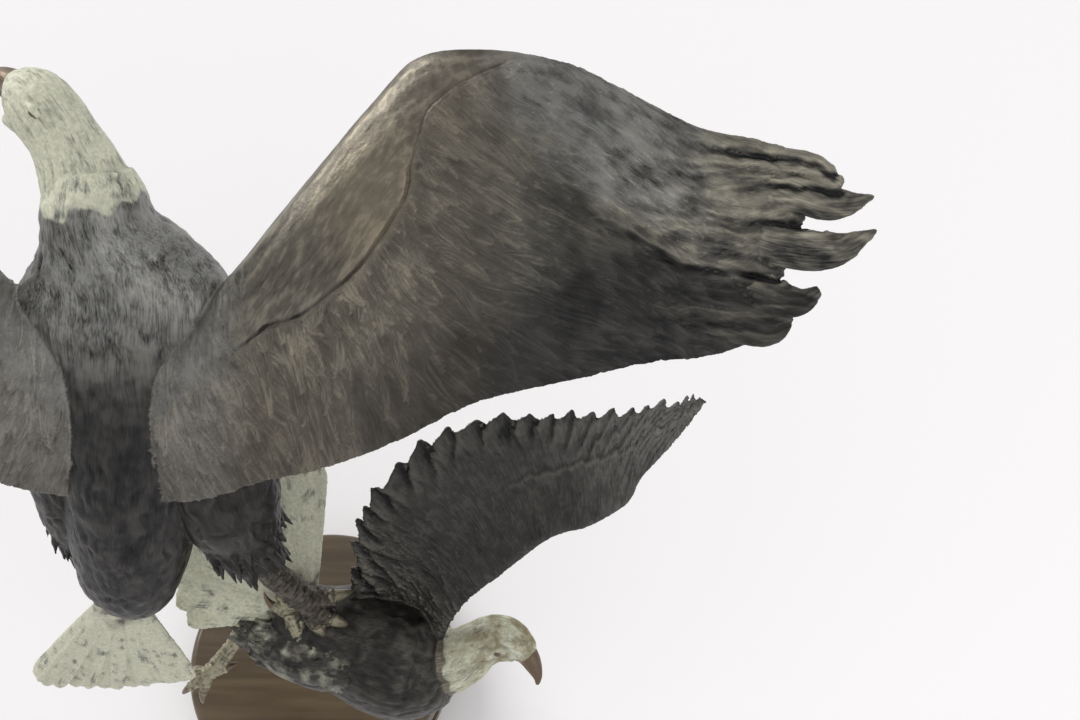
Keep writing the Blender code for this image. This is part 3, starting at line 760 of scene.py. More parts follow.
def build_lower(cast, sizes):
    """The eagle beneath, rolled on its back. Gives back its wings by kind."""
    away = (0, 0.5, -0.866)
    limb(cast, LOWER_BODY_ROWS, BODY, sides=64)
    limb(cast, LOWER_HEAD_ROWS, HEAD, sides=56)
    limb(cast, LOWER_BEAK_ROWS, HORN, sides=32, pitch=0.8)
    eye_and_brow(cast, (152, -51, 199), (0.9, -0.2, 0), (0.1, 0.7, 0.5), 3.6, VIEW)
    eye_and_brow(cast, (153, -28, 182), (0.9, -0.3, 0), (0.1, 0.8, 0.4), 3.6, away)
    strokes = (sizes.stroke_width * 0.8, sizes.stroke_length * 0.6)
    wings = {
        LOWER_WING: Wing(LOWER_WING_FRONT, LOWER_WING_BACK, away, LOWER_FEATHERS, 12, 13, 5.4,
                         LOWER_STROKE_TURN, *strokes, 23),
        STANDING_WING: Wing(STANDING_WING_FRONT, STANDING_WING_BACK, (0.6, 0.6, -0.2), STANDING_FEATHERS,
                            13, 12, 2.6, LOWER_STROKE_TURN, *strokes, 31),
    }
    for kind, wing in wings.items():
        wing.sheet(cast, kind, 3.0)
    tail(cast, LOWER_TAIL_ROOT, LOWER_TAIL_ENDS, 9.5, 4.5)
    thigh(cast, LOWER_LEFT_THIGH, 12, 10)
    foot(cast, LOWER_LEFT_SHANK, (-0.8, -0.5, -0.3), (-0.5, 0.75, 0.4), (0, 0.3, -0.9), 23, 4.6)
    thigh(cast, LOWER_RIGHT_THIGH, 8, 7)
    foot(cast, LOWER_RIGHT_SHANK, (-0.4, 0.6, 0.6), (0.8, 0.3, 0.2), (0.2, 0.6, 0.7), 20, 4.6)
    return wings


def back_relief(spots, facing, local, share, wing, sizes):
    """The upper bird's wings seen from behind: crease, locks, hand and finger grooves.

    Gives back the heights, the share of the feathered side, the share of strong locks, and the shade.
    """
    line = through(CREASE_LINE, 40).tolist() + through(WRIST_LINE, 20).tolist()[1:]
    crease, along = from_line(spots, line)
    crease = crease / PIXELS_PER_MM + 0.5 * noise(local / 6.0, 21)
    feathered = np.maximum(ease(-1.0, 6.0, crease), ease(262, 222, spots[:, 0]))
    drawn = ease(0.05, 0.16, along) * (1 - 0.5 * ease(0.6, 0.7, along)) * ease(1.0, 0.9, along)
    drawn = drawn * (0.75 + 0.5 * noise(local / 13.0, 27))
    depth = sizes.groove_depth * drawn
    height = -depth * bump(crease, 0.9) + 0.3 * depth * bump(crease + 2.2, 1.5)
    skin = on_sheet(local, 21, 2.4, 22) * 0.05
    skin = skin + on_sheet(local, 12, 7.0, 23) * 0.18
    skin = skin + 0.06 * on_sheet(local, 3.0, 1.6, 26)
    near = ease(-2.0, 8.0, crease) * ease(120.0, 60.0, crease) * ease(540, 430, spots[:, 0])
    hand = ease(500, 600, spots[:, 0] + 30 * noise(local / 20.0, 25))
    combed = (0.2 + 0.16 * near + 0.1 * hand) * ease(800, 650, spots[:, 0])
    locks_high, shade, _ = wing.painted(share)
    lumps = on_sheet(local, 5, 6, 28) * 0.4 * (0.25 + hand) * ease(800, 650, spots[:, 0])
    lumps = lumps + 0.45 * on_sheet(local, 11, 15, 24)
    height = height + (1 - feathered) * skin
    height = height + feathered * sizes.stroke_depth * (combed * locks_high + lumps)
    back = share[:, 1] * chord_length(share, wing)
    rim = 0.3 * bump(back - 5.0, 1.9) - 0.25 * bump(back - 9.0, 2.0)
    height = height + rim * ease(0.08, 0.2, share[:, 0])
    height = height + finger_grooves(spots, local)
    gap, along = from_line(spots, HAND_LINE)
    gap = gap / PIXELS_PER_MM + 1.1 * noise(local / 6.0, 35)
    height = height + ease(0.0, 0.15, along) * (0.6 * bump(gap + 1.2, 1.3) - 0.7 * bump(gap - 1.6, 1.6))
    scar = np.linalg.norm(spots - WRIST_SCAR, axis=1) / PIXELS_PER_MM
    height = height - 0.5 * bump(scar, 1.4) + 0.25 * bump(scar - 2.8, 1.0)
    chips = on_sheet(local, 4, 2.2, 36)
    height = height + 0.25 * ease(0.55, 0.8, chips) * feathered * ease(430, 520, spots[:, 0])
    return height * facing, feathered, near, shade * feathered * (0.4 + 0.6 * np.maximum(near, hand))


def finger_grooves(spots, local):
    """The end feathers' grooves, each with its lips, and the lumpy ridges that run out along them."""
    height = np.zeros(len(spots))
    for k, line in enumerate(FINGER_LINES):
        gap, along = from_line(spots, line)
        gap = gap / PIXELS_PER_MM + 1.2 * noise(local / 6.0, 30 + k)
        deep = 1.7 * ease(0.0, 0.5, along) * (0.3 + 0.7 * along)
        height = height - deep * bump(gap, 1.5) + 0.4 * deep * bump(np.abs(gap) - 3.4, 1.8)
    x, y = spots.T
    fan = np.interp(y, [130, 190, 225, 270, 330], [0.22, 0.03, 0.06, 0.15, 0.0])
    lane = y - fan * (x - 700) + 6 * noise(local / 14.0, 37)
    flat = np.zeros(len(x))
    coarse = noise(np.column_stack([x / 75, lane / 10.5, flat]), 38)
    fine = noise(np.column_stack([x / 30, lane / 4.5, flat]), 39)
    crumbs = noise(np.column_stack([x / 9, lane / 6.0, flat]), 40)
    return height + ease(600, 720, x) * (0.6 * coarse + 0.42 * fine + 0.2 * crumbs)


def chord_length(share, wing):
    """The chord's length in millimetres at each place."""
    return np.interp(share[:, 0], np.linspace(0, 1, len(wing.length)), wing.length[:, 0])


def vane_relief(local, share, wing, step, side, reach):
    """A wing's feathered side: smooth coverts ahead, then vanes that overlap, each with its shaft.

    The vanes lean towards the wing's end as they run back, and show over reach millimetres.
    """
    s, chord = share[:, 0], chord_length(share, wing)
    end = ease(0.5, 0.75, s)
    lean = 0.10 + 0.25 * ease(0.45, 1.0, s)
    forward = 1 - share[:, 1]
    q = wing.feathers * (s + lean * forward) + (0.32 - 0.25 * end) * noise(local / 12.0, 43)
    saw = q % 1
    wide = reach * (0.8 + 0.5 * ((np.floor(q) * 0.618) % 1)) * (1 + 1.6 * end)
    behind = ease(wide, 0.35 * wide, forward * chord)
    height = side * step * (saw - 0.5) * behind * ease(1.0, 0.9 - 0.2 * end, saw) * (1 - 0.4 * end)
    shaft, groove = 0.35 * bump(saw - 0.6, 0.1), (0.8 - 0.4 * end) * bump(np.minimum(saw, 1 - saw), 0.09)
    height = height + behind * (shaft - groove)
    fold = 0.5 * np.clip(s - 0.42, 0, 0.2) + 0.45
    back = (share[:, 1] - fold) * chord + 0.6 * noise(local / 7.0, 44)
    height = height + ease(0.38, 0.5, s) * (0.5 * bump(back + 1.8, 2.0) - 0.4 * bump(back - 1.0, 1.6))
    painted = wing.painted(share)[0] * (0.1 + 0.25 * ease(0.35, 0.15, s))
    height = height + painted + 0.22 * on_sheet(local, 9, 9, 41)
    return height + 0.16 * noise(local / 2.4, 42)


def relief(points, normals, local, share, wings, sizes, flip):
    """The relief's height in millimetres at each point, and the masks that colour it, painted shade and a
    painted sheen among them.
    """
    kind = np.rint(share[:, 2]).astype(int)
    height = np.zeros(len(points))
    patina_and_painted_shade = np.zeros((len(points), 3))
    tints_and_painted_sheen = np.zeros((len(points), 3))
    warped, curled = swayed(local, 2.4, 11.0, 1), swayed(local, 5.0, 9.0, 3)
    deep = sizes.stroke_depth
    flow, shades = local.copy(), np.zeros(len(points))

    at = kind == BODY
    fur = 0.62 * strands(warped[at], 2.8, 15, 5) + 0.3 * strands(warped[at], 1.3, 8, 6)
    height[at] = deep * (fur + 0.6 * noise(local[at] / 10.0, 7) + 0.55 * noise(points[at] / 4.0, 47))
    at = kind == THIGH
    fur = 0.95 * strands(curled[at], 3.2, 12, 8) + 0.4 * strands(curled[at], 1.5, 7, 9)
    height[at] = deep * fur
    at = kind == HEAD
    fur = 0.34 * strands(warped[at], 2.0, 6.5, 10) + 0.14 * noise(warped[at] / 1.1, 11)
    height[at] = fur
    at = kind == LEG
    rings = np.abs(np.sin(math.pi * local[at, 2] / 3.0 + 1.4 * noise(local[at] / 4.0, 12)))
    height[at] = 0.42 * rings + 0.5 * noise(local[at] / 2.6, 13) + 0.2 * noise(local[at] / 1.2, 14) - 0.2
    at = kind == HORN
    height[at] = 0.1 * strands(local[at], 2, 6, 15)
    at = kind == TAIL
    across = share[at, 1]
    barbs = 2 * math.pi * (local[at, 2] / 3.4 - 2.2 * np.abs(across))
    barbs = np.sin(barbs + 2 * noise(local[at] / 5.0, 16))
    height[at] = 0.5 * bump(across, 0.13) + 0.1 * barbs + 0.3 * strands(warped[at], 1.9, 13, 17)
    at = kind == FINGER
    fur = 0.5 * strands(warped[at], 2.1, 17, 18) + 0.22 * strands(warped[at], 1.1, 8, 19)
    fur = fur + 0.35 * strands(local[at], 5, 22, 20)
    height[at] = deep * fur + 0.35 * bump(share[at, 1] + 0.15, 0.12)

    pale = np.zeros(len(points))
    if UPPER_WING in wings:
        wing = wings[UPPER_WING]
        left = (points - BACK_MIDDLE) @ unit(BACK_ACROSS) < 0
        spots = photo_spot(np.where(left[:, None], flip(points), points))
        facing = np.where(left[:, None], flip(normals, True), normals) @ np.asarray(VIEW)
        facing = ease(-0.15, 0.3, facing)
        at = (kind == UPPER_WING) & (facing > 0)
        found = back_relief(spots[at], facing[at], local[at], share[at], wing, sizes)
        height[at], feathered, near, shade = found
        shades[at] = shade
        skin = bump(np.linalg.norm((spots[at] - WARM_SKIN) / (55, 75), axis=1), 1.0) * (1 - feathered)
        skin = skin + 0.3 * bump((spots[at, 0] - 450) / 70, 1.0) * bump((spots[at, 1] - 80) / 40, 1.0)
        tints_and_painted_sheen[at, 0] = np.clip(0.18 * (1 - feathered) + skin + near * (0.3 + 0.04 * shade), 0, 1)
        strand = wing.painted(share[at])[2]
        combed = np.column_stack([strand[:, 0], np.zeros(len(strand)), strand[:, 1]])
        bare = local[at][:, [2, 1, 0]] * (0.2, 0.2, 1.3)
        flow[at] = np.where(feathered[:, None] > 0.5, combed, bare)
        at = kind == FINGER
        height[at] += finger_grooves(spots[at], local[at]) * facing[at]
        at = (kind == UPPER_WING) | (kind == FINGER)
        hand, _ = from_line(spots[at], [(380, 40), (500, 150)] + HAND_LINE)
        hand = hand + 22 * noise(local[at] / 16.0, 45) + 9 * noise(local[at] / 5.0, 46)
        low = ease(-25.0, 18.0, hand) * ease(520, 640, spots[at, 0])
        on_wing = kind[at] == UPPER_WING
        # Painted shade, the third value of the colour masks: darker along the trailing edge, on the hand
        # below its line, in a band across the middle and at the root
        behind = ease(0.55, 0.92, share[at, 1]) * ease(0.24, 0.36, share[at, 0]) * on_wing
        middle = 0.3 * ease(380, 470, spots[at, 0]) * ease(640, 560, spots[at, 0])
        root = 0.45 * ease(0.55, 0.95, share[at, 1]) * ease(0.34, 0.2, share[at, 0]) * on_wing
        patina_and_painted_shade[at, 2] = np.clip(0.85 * behind + 0.85 * low + middle + root, 0, 1)
        # Painted blue-grey sheen, the second value of the colour masks: on the upper hand, along the
        # trailing edge and near the body
        upper_hand = ease(450, 540, spots[at, 0]) * ease(0.0, -55.0, hand) * ease(740, 640, spots[at, 0])
        tints_and_painted_sheen[at, 1] = np.clip(0.8 * upper_hand + 0.2 * behind + 0.6 * ease(260, 200, spots[at, 0]), 0, 1)
        under = (kind == UPPER_WING) & (facing <= 0)
        height[under] = vane_relief(local[under], share[under], wing, 1.6, -1.0, 55)
        neck = from_head(points, *UPPER_NECK)
        pale = ease(-3.0, 5.0, neck + 6 * noise(points / 7.0, 50) - 10)
        # Painted sheen on the shoulders and neck, and painted shade on the body below them, on the thighs
        # and on the legs
        high = ease(-60.0, 10.0, from_head(points, *UPPER_SHOULDERS))
        tints_and_painted_sheen[kind == BODY, 1] = 0.25 + 0.65 * high[kind == BODY]
        patina_and_painted_shade[kind == BODY, 2] = 1 - high[kind == BODY]
        patina_and_painted_shade[kind == THIGH, 2] = 1.0
        patina_and_painted_shade[kind == LEG, 2] = 0.9
        tints_and_painted_sheen[kind == LEG, 0] = 0.25
        height[kind == LEG] *= 1.5
    else:
        for code in (LOWER_WING, STANDING_WING):
            at = kind == code
            side = np.where(local[at, 1] > wings[code].level, 1.0, -1.0)
            height[at] = vane_relief(local[at], share[at], wings[code], sizes.feather_step, side, 24)
            # Painted shade over the lower wings, less at the root, with a painted blue-grey sheen and
            # less shade on the outer half of the lower wing
            light = ease(0.5, 0.85, share[at, 0]) * (code == LOWER_WING)
            tints_and_painted_sheen[at, 1] = 0.12 + 0.5 * light
            patina_and_painted_shade[at, 2] = 0.85 - 0.4 * light - 0.25 * ease(0.25, 0.05, share[at, 0])
        neck = from_head(points, *LOWER_NECK)
        pale = ease(-2.0, 4.0, neck + 4.5 * noise(points / 5.0, 51))
        # Painted shade on the lower bird's body and thighs
        patina_and_painted_shade[kind == BODY, 2] = 0.85
        patina_and_painted_shade[kind == THIGH, 2] = 0.7
        tints_and_painted_sheen[:, 2] = np.where(kind == LEG, 0.5, 0)
        tints_and_painted_sheen[kind == HEAD, 0] = 0.45 + 0.55 * ease(8, 28, neck[kind == HEAD])
        # Pale speckles on the lower thigh: partly pale patina, partly painted grey highlights
        pale = np.where(kind == THIGH, 0.38 + 0.2 * noise(points / 6.0, 54), pale)
    patina_and_painted_shade[:, 1] = np.where(np.isin(kind, (HEAD, BODY, THIGH)), pale, 0)
    at = kind == TAIL
    white = 0.84 if UPPER_WING in wings else 1.0
    patina_and_painted_shade[at, 1] = ease(0.02, 0.2, share[at, 0] + 0.08 * noise(points[at] / 6.0, 52)) * white
    shades[at] = 1.5 + 5.0 * noise(points[at] / 4.5, 53)
    patina_and_painted_shade[:, 0] = np.clip(0.5 + 0.5 * height / (2.0 * deep) + 0.05 * shades, 0, 1)
    claws = (UPPER_WING in wings) & (points[:, 2] < CLAWS_BELOW)
    tints_and_painted_sheen[:, 2] = np.where(kind == HORN, np.where(claws, 0.62, 1.0), tints_and_painted_sheen[:, 2])
    tints_and_painted_sheen[kind == EYE, 2] = 1.0
    return height, patina_and_painted_shade, tints_and_painted_sheen, flow


def from_head(points, start, way):
    """Millimetres past a place on the neck, towards the head."""
    return (points - np.array(start, float)) @ unit(way)


def carve(name, cast, wings, sizes, metal, cuts=()):
    """Makes the forms one skin, carves its relief and parts its faces along the cuts.

    A cut is a place and a direction in millimetres. Gives back what the pieces are made from.
    """
    forms = mesh_of("forms", np.concatenate(cast.points) * MM, np.concatenate(cast.faces),
                    local=np.concatenate(cast.local), share=np.concatenate(cast.share))
    forms = new_object("forms", forms)
    skin = new_object(name, forms.data.copy())
    remesh = skin.modifiers.new("one_skin", "REMESH")
    remesh.mode = "VOXEL"
    remesh.voxel_size = sizes.grain * 1.0 * MM
    soften = skin.modifiers.new("soften", "SMOOTH")
    soften.factor = 0.5
    soften.iterations = 3
    skin.data = baked(skin)
    bird = {"forms": forms, "wings": wings, "sizes": sizes, "metal": metal}
    points, normals, height, _ = facts_of(skin, bird)
    points = points + normals * height[:, None] * MM
    skin.data.vertices.foreach_set("co", points.astype(np.float32).ravel())
    if cuts:
        bm = bmesh.new()
        bm.from_mesh(skin.data)
        for place, way in cuts:
            place, way = Vector(place) * MM, Vector(way).normalized()
            near = [v for v in bm.verts if abs((v.co - place).dot(way)) < 3 * MM]
            near = list({face for v in near for face in v.link_faces})
            near += list({edge for face in near for edge in face.edges})
            bmesh.ops.bisect_plane(bm, geom=near, dist=0.001 * MM, plane_co=place, plane_no=way)
        bm.to_mesh(skin.data)
        bm.free()
    skin.data.update()
    skin.data.calc_loop_triangles()
    points = values_of(skin.data.vertices, "co")
    bird["points"], bird["normals"] = points, values_of(skin.data.vertex_normals, "vector")
    faces = values_of(skin.data.loop_triangles, "vertices").astype(int)
    bird["faces"] = largest(points, faces)
    bpy.data.objects.remove(skin)
    return bird


def facts_of(thing, bird):
    """A skin's points and normals, the relief's height there, and the masks that colour it."""
    tree = bpy.data.node_groups.get("carry_over_forms") or carry_tree()
    run_tree(thing, tree, {"Forms": bird["forms"], "Metal": bird["metal"]})
    mesh = thing.data
    points = values_of(mesh.vertices, "co")
    normals = values_of(mesh.vertex_normals, "vector")
    local = values_of(mesh.attributes["local"].data, "vector")
    share = values_of(mesh.attributes["share"].data, "vector")
    known = (bird["wings"], bird["sizes"], upper_mirror())
    height, *masks = relief(points / MM, normals, local, share, *known)
    return points, normals, height, dict(zip(("patina_and_painted_shade", "tints_and_painted_sheen", "flow"), masks))


def largest(points, faces):
    """The faces of the largest joined body, so that no crumb stays."""
    label = np.arange(len(points))
    while True:
        least = label[faces].min(1)
        fresh = label.copy()
        for k in range(3):
            np.minimum.at(fresh, faces[:, k], least)
        fresh = fresh[fresh]
        if np.array_equal(fresh, label):
            break
        label = fresh
    owner = label[faces[:, 0]]
    names, counts = np.unique(owner, return_counts=True)
    return faces[owner == names[counts.argmax()]]


def piece(name, bird, rows, budget):
    """A closed piece from some faces of a bird, thinned to a number of triangles.

    The points on a cut stay as they are, with the whole bird's normals, so that pieces meet unseen.
    """
    faces = bird["faces"][rows]
    used, faces = np.unique(faces, return_inverse=True)
    faces = faces.reshape(-1, 3)
    mesh = mesh_of(name, bird["points"][used], faces, whole=bird["normals"][used])
    edges = np.concatenate([faces[:, [0, 1]], faces[:, [1, 2]], faces[:, [2, 0]]])
    size = len(used) + 1
    open_edges = edges[~np.isin(edges[:, 0] * size + edges[:, 1], edges[:, 1] * size + edges[:, 0])]
    on_cut = np.zeros(len(used))
    on_cut[open_edges.ravel()] = 1
    mesh.attributes.new("on_cut", "FLOAT", "POINT").data.foreach_set("value", on_cut.astype(np.float32))
    thing = new_object(name, mesh)
    inside = thing.vertex_groups.new(name="inside")
    inside.add(np.flatnonzero(on_cut == 0).tolist(), 1.0, "REPLACE")
    thin = thing.modifiers.new("thin", "DECIMATE")
    thin.ratio = min(1.0, budget * 1 / len(faces))
    thin.vertex_group = "inside"
    thin.use_collapse_triangulate = True
    thing.data = baked(thing)
    points, normals, _, facts = facts_of(thing, bird)
    mesh = thing.data
    on_cut = values_of(mesh.attributes["on_cut"].data, "value", 1)
    whole = values_of(mesh.attributes["whole"].data, "vector")
    facts["kept_normal"] = np.where(on_cut > 0.5, whole, normals)
    for label in ("local", "share", "whole", "on_cut"):
        mesh.attributes.remove(mesh.attributes[label])
    set_facts(mesh, facts)
    thing.vertex_groups.clear()
    points = np.clip(points + (0, 0, FIGURE_BASE), *FIGURE_BOX)
    mesh.vertices.foreach_set("co", points.astype(np.float32).ravel())
    if on_cut.any():
        bm = bmesh.new()
        bm.from_mesh(mesh)
        rim = [edge for edge in bm.edges if edge.is_boundary]
        caps = bmesh.ops.holes_fill(bm, edges=rim, sides=0)["faces"]
        bmesh.ops.triangulate(bm, faces=caps, ngon_method="EAR_CLIP")
        same = {}
        for face in bm.faces:
            same.setdefault(frozenset(face.verts), []).append(face)
        flat = [face for group in same.values() if len(group) > 1 for face in group]
        bmesh.ops.delete(bm, geom=flat, context="FACES")
        bm.to_mesh(mesh)
        bm.free()
    mesh.shade_smooth()
    normals = values_of(mesh.attributes["kept_normal"].data, "vector")
    mesh.attributes.remove(mesh.attributes["kept_normal"])
    mesh.normals_split_custom_set_from_vertices(normals.astype(np.float32))
    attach(thing, "root")
    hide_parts("eagle_group")


MIX = {"data_type": "RGBA", "clamp_factor": True}


def bronze():
    """Cast bronze under a waxed brown patina.

    The founder's brush leaves ridges rubbed to a tan sheen, hollows blue-black, and heads and tails
    under a pale green-white patina that hides the metal. The wax gives a broad, soft gloss.
    Painted shade darkens the wings' trailing edges, the body under them, the thighs and the lower bird,
    and a painted blue-grey sheen stands for reflected sky on the hand, the neck and the lower wings.
    """
    look = bpy.context.scene.bronze_finish
    metal = bpy.data.materials.new("patinated_bronze_waxed")
    metal.use_nodes = True
    tree = metal.node_tree
    shader = tree.nodes["Principled BSDF"]
    place = add(tree, "ShaderNodeTexCoord").outputs["Object"]
    patina_and_painted_shade = add(tree, "ShaderNodeSeparateXYZ",
               {0: add(tree, "ShaderNodeAttribute", attribute_name="patina_and_painted_shade").outputs["Vector"]})
    tints_and_painted_sheen = add(tree, "ShaderNodeSeparateXYZ",
               {0: add(tree, "ShaderNodeAttribute", attribute_name="tints_and_painted_sheen").outputs["Vector"]})
    flow = add(tree, "ShaderNodeAttribute", attribute_name="flow").outputs["Vector"]
    # Cloudy patina, in cells of about 9 mm and 2 mm
    cloud = add(tree, "ShaderNodeTexNoise",
                {"Vector": place, "Scale": 110.0, "Detail": 4.0, "Roughness": 0.6})
    speck = add(tree, "ShaderNodeTexNoise",
                {"Vector": place, "Scale": 520.0, "Detail": 3.0, "Roughness": 0.65})
    # Brush hairs, 0.8 mm across and 9 mm long, drawn along the feathers
    drawn = add(tree, "ShaderNodeMapping", {"Vector": flow, "Scale": (1.2, 1.2, 0.11)})
    hair = add(tree, "ShaderNodeTexNoise",
               {"Vector": drawn, "Scale": 1.0, "Detail": 3.0, "Roughness": 0.6})
    # Brush hairs show less under painted shade and pale patina
    drawn = add(tree, "ShaderNodeMath",
                {0: patina_and_painted_shade.outputs["Z"], 1: -0.55, 2: 1.0}, operation="MULTIPLY_ADD")
    drawn = add(tree, "ShaderNodeMath",
                {0: patina_and_painted_shade.outputs["Y"], 1: -0.45, 2: drawn}, operation="MULTIPLY_ADD")
    wander = add(tree, "ShaderNodeMath", {0: hair, 1: 0.5}, operation="SUBTRACT")
    wander = add(tree, "ShaderNodeMath", {0: wander, 1: drawn}, operation="MULTIPLY")
    wander = add(tree, "ShaderNodeMath", {0: cloud, 1: 0.3, 2: wander}, operation="MULTIPLY_ADD")
    wander = add(tree, "ShaderNodeMath", {0: wander, 1: 0.15}, operation="SUBTRACT")
    rub = add(tree, "ShaderNodeMath", {0: patina_and_painted_shade.outputs["X"], 1: wander})
    valley = add(tree, "ShaderNodeMapRange", {"Value": rub, "From Min": 0.1, "From Max": 0.58})
    crest = add(tree, "ShaderNodeMapRange",
                {"Value": rub, "From Min": 0.52, "From Max": 1.0, "To Max": 0.7})
    base = add(tree, "ShaderNodeMix", {0: valley, 6: (*look.hollow, 1), 7: (*look.brown, 1)}, **MIX)
    base = add(tree, "ShaderNodeMix", {0: crest, 6: base, 7: (*look.ridge, 1)}, **MIX)
    # Painted sheen: a blue-grey reflection of the sky painted into the flat and hollow parts of the hand,
    # the neck and the lower wings
    painted_sheen = add(tree, "ShaderNodeMath", {0: cloud, 1: hair})
    painted_sheen = add(tree, "ShaderNodeMapRange",
               {"Value": painted_sheen, "From Min": 0.75, "From Max": 1.2, "To Min": 0.34, "To Max": 0.78})
    painted_sheen = add(tree, "ShaderNodeMath", {0: tints_and_painted_sheen.outputs["Y"], 1: painted_sheen}, operation="MULTIPLY")
    painted_sheen = add(tree, "ShaderNodeMath", {0: painted_sheen, 1: valley}, operation="MULTIPLY")
    base = add(tree, "ShaderNodeMix", {0: painted_sheen, 6: base, 7: (*look.painted_sheen, 1)}, **MIX)
    # Painted shade: the colour darkened towards blue-black where the shade mask says
    painted_shade = add(tree, "ShaderNodeMath", {0: patina_and_painted_shade.outputs["Z"], 1: 0.85}, operation="MULTIPLY")
    painted_shade_tint = add(tree, "ShaderNodeMix",
                {0: 1.0, 6: base, 7: (0.1, 0.1, 0.13, 1)}, blend_type="MULTIPLY", **MIX)
    base = add(tree, "ShaderNodeMix", {0: painted_shade, 6: base, 7: painted_shade_tint}, **MIX)
    warm = add(tree, "ShaderNodeMath", {0: tints_and_painted_sheen.outputs["X"], 1: crest}, operation="MULTIPLY")
    warm = add(tree, "ShaderNodeMath", {0: tints_and_painted_sheen.outputs["X"], 1: 0.35, 2: warm}, operation="MULTIPLY_ADD")
    base = add(tree, "ShaderNodeMix", {0: warm, 6: base, 7: (*look.warm, 1)}, **MIX)
    # Legs and horn
    leg = add(tree, "ShaderNodeMapRange", {"Value": tints_and_painted_sheen.outputs["Z"], "From Max": 0.5, "To Max": 0.75})
    scale = add(tree, "ShaderNodeMix", {0: valley, 6: (*look.hollow, 1), 7: (*look.leg, 1)}, **MIX)
    base = add(tree, "ShaderNodeMix", {0: leg, 6: base, 7: scale}, **MIX)
    horn = add(tree, "ShaderNodeMapRange", {"Value": tints_and_painted_sheen.outputs["Z"], "From Min": 0.5, "To Max": 0.9})
    base = add(tree, "ShaderNodeMix", {0: horn, 6: base, 7: (*look.horn, 1)}, **MIX)
    # Pale patina, thin on ridges and grey in the hollows
    edge = add(tree, "ShaderNodeMath", {0: cloud, 1: 0.9, 2: -0.45}, operation="MULTIPLY_ADD")
    worn = add(tree, "ShaderNodeMath", {0: patina_and_painted_shade.outputs["Y"], 1: edge})
    mask = add(tree, "ShaderNodeMapRange", {"Value": worn, "From Min": 0.35, "From Max": 0.65})
    mask = add(tree, "ShaderNodeMath", {0: mask, 1: patina_and_painted_shade.outputs["Y"]}, operation="MULTIPLY")
    grey = add(tree, "ShaderNodeMapRange", {"Value": rub, "From Min": 0.22, "From Max": 0.5})
    blotch = add(tree, "ShaderNodeMapRange", {"Value": speck, "From Min": 0.35, "From Max": 0.65})
    chalk = add(tree, "ShaderNodeMix",
                {0: blotch, 6: (*look.pale_green, 1), 7: (*look.pale_cream, 1)}, **MIX)
    ochre = add(tree, "ShaderNodeMapRange", {"Value": cloud, "From Min": 0.36, "From Max": 0.6})
    ochre = add(tree, "ShaderNodeMath", {0: tints_and_painted_sheen.outputs["X"], 1: ochre}, operation="MULTIPLY")
    chalk = add(tree, "ShaderNodeMix", {0: ochre, 6: chalk, 7: (*look.pale_ochre, 1)}, **MIX)
    chalk = add(tree, "ShaderNodeMix", {0: grey, 6: (*look.pale_grey, 1), 7: chalk}, **MIX)
    base = add(tree, "ShaderNodeMix", {0: mask, 6: base, 7: chalk}, **MIX)
    tree.links.new(base.outputs[2], shader.inputs["Base Color"])
    shine = add(tree, "ShaderNodeMapRange", {"Value": mask, "To Min": 0.72, "To Max": 0.05})
    tree.links.new(shine.outputs[0], shader.inputs["Metallic"])
    matt = add(tree, "ShaderNodeMath", {0: mask, 1: 0.25, 2: 0.29}, operation="MULTIPLY_ADD")
    matt = add(tree, "ShaderNodeMath", {0: speck, 1: 0.22, 2: matt}, operation="MULTIPLY_ADD")
    tree.links.new(matt.outputs[0], shader.inputs["Roughness"])
    fine = add(tree, "ShaderNodeMath", {0: speck, 1: 0.6, 2: hair}, operation="MULTIPLY_ADD")
    relief_nodes = add(tree, "ShaderNodeBump", {"Height": fine, "Strength": 0.35, "Distance": 0.0006})
    tree.links.new(relief_nodes.outputs[0], shader.inputs["Normal"])
    return metal


def walnut():
    """Dark walnut, turned and polished under thick gloss lacquer.

    The grain runs along X in bands of about 6 mm with pores 0.4 mm wide, and the lacquer lies level.
    """
    look = bpy.context.scene.plinth_finish
    wood = bpy.data.materials.new("lacquered_dark_walnut")
    wood.use_nodes = True
    tree = wood.node_tree
    shader = tree.nodes["Principled BSDF"]
    place = add(tree, "ShaderNodeTexCoord").outputs["Object"]
    run = add(tree, "ShaderNodeMapping",
              {"Vector": place, "Scale": (8.0, 90.0, 60.0), "Rotation": (0.1, 0.0, 0.5)})
    band = add(tree, "ShaderNodeTexNoise",
               {"Vector": run, "Scale": 1.0, "Detail": 5.0, "Distortion": 0.6})
    pore = add(tree, "ShaderNodeMapping",
               {"Vector": place, "Scale": (140.0, 2400.0, 1500.0), "Rotation": (0.1, 0.0, 0.5)})
    pore = add(tree, "ShaderNodeTexNoise", {"Vector": pore, "Scale": 1.0, "Detail": 2.0})
    grain = add(tree, "ShaderNodeMapRange", {"Value": band, "From Min": 0.35, "From Max": 0.65})
    base = add(tree, "ShaderNodeMix",
               {0: grain, 6: (*look.heartwood, 1), 7: (*look.light_grain, 1)}, **MIX)
    dots = add(tree, "ShaderNodeMapRange",
               {"Value": pore, "From Min": 0.62, "From Max": 0.75, "To Max": 0.4})
    base = add(tree, "ShaderNodeMix", {0: dots, 6: base, 7: (*look.heartwood, 1)}, **MIX)
    tree.links.new(base.outputs[2], shader.inputs["Base Color"])
    shader.inputs["Roughness"].default_value = 0.32
    shader.inputs["Coat Weight"].default_value = 0.3
    shader.inputs["Coat Roughness"].default_value = 0.12
    shader.inputs["Specular IOR Level"].default_value = 0.3
    return wood


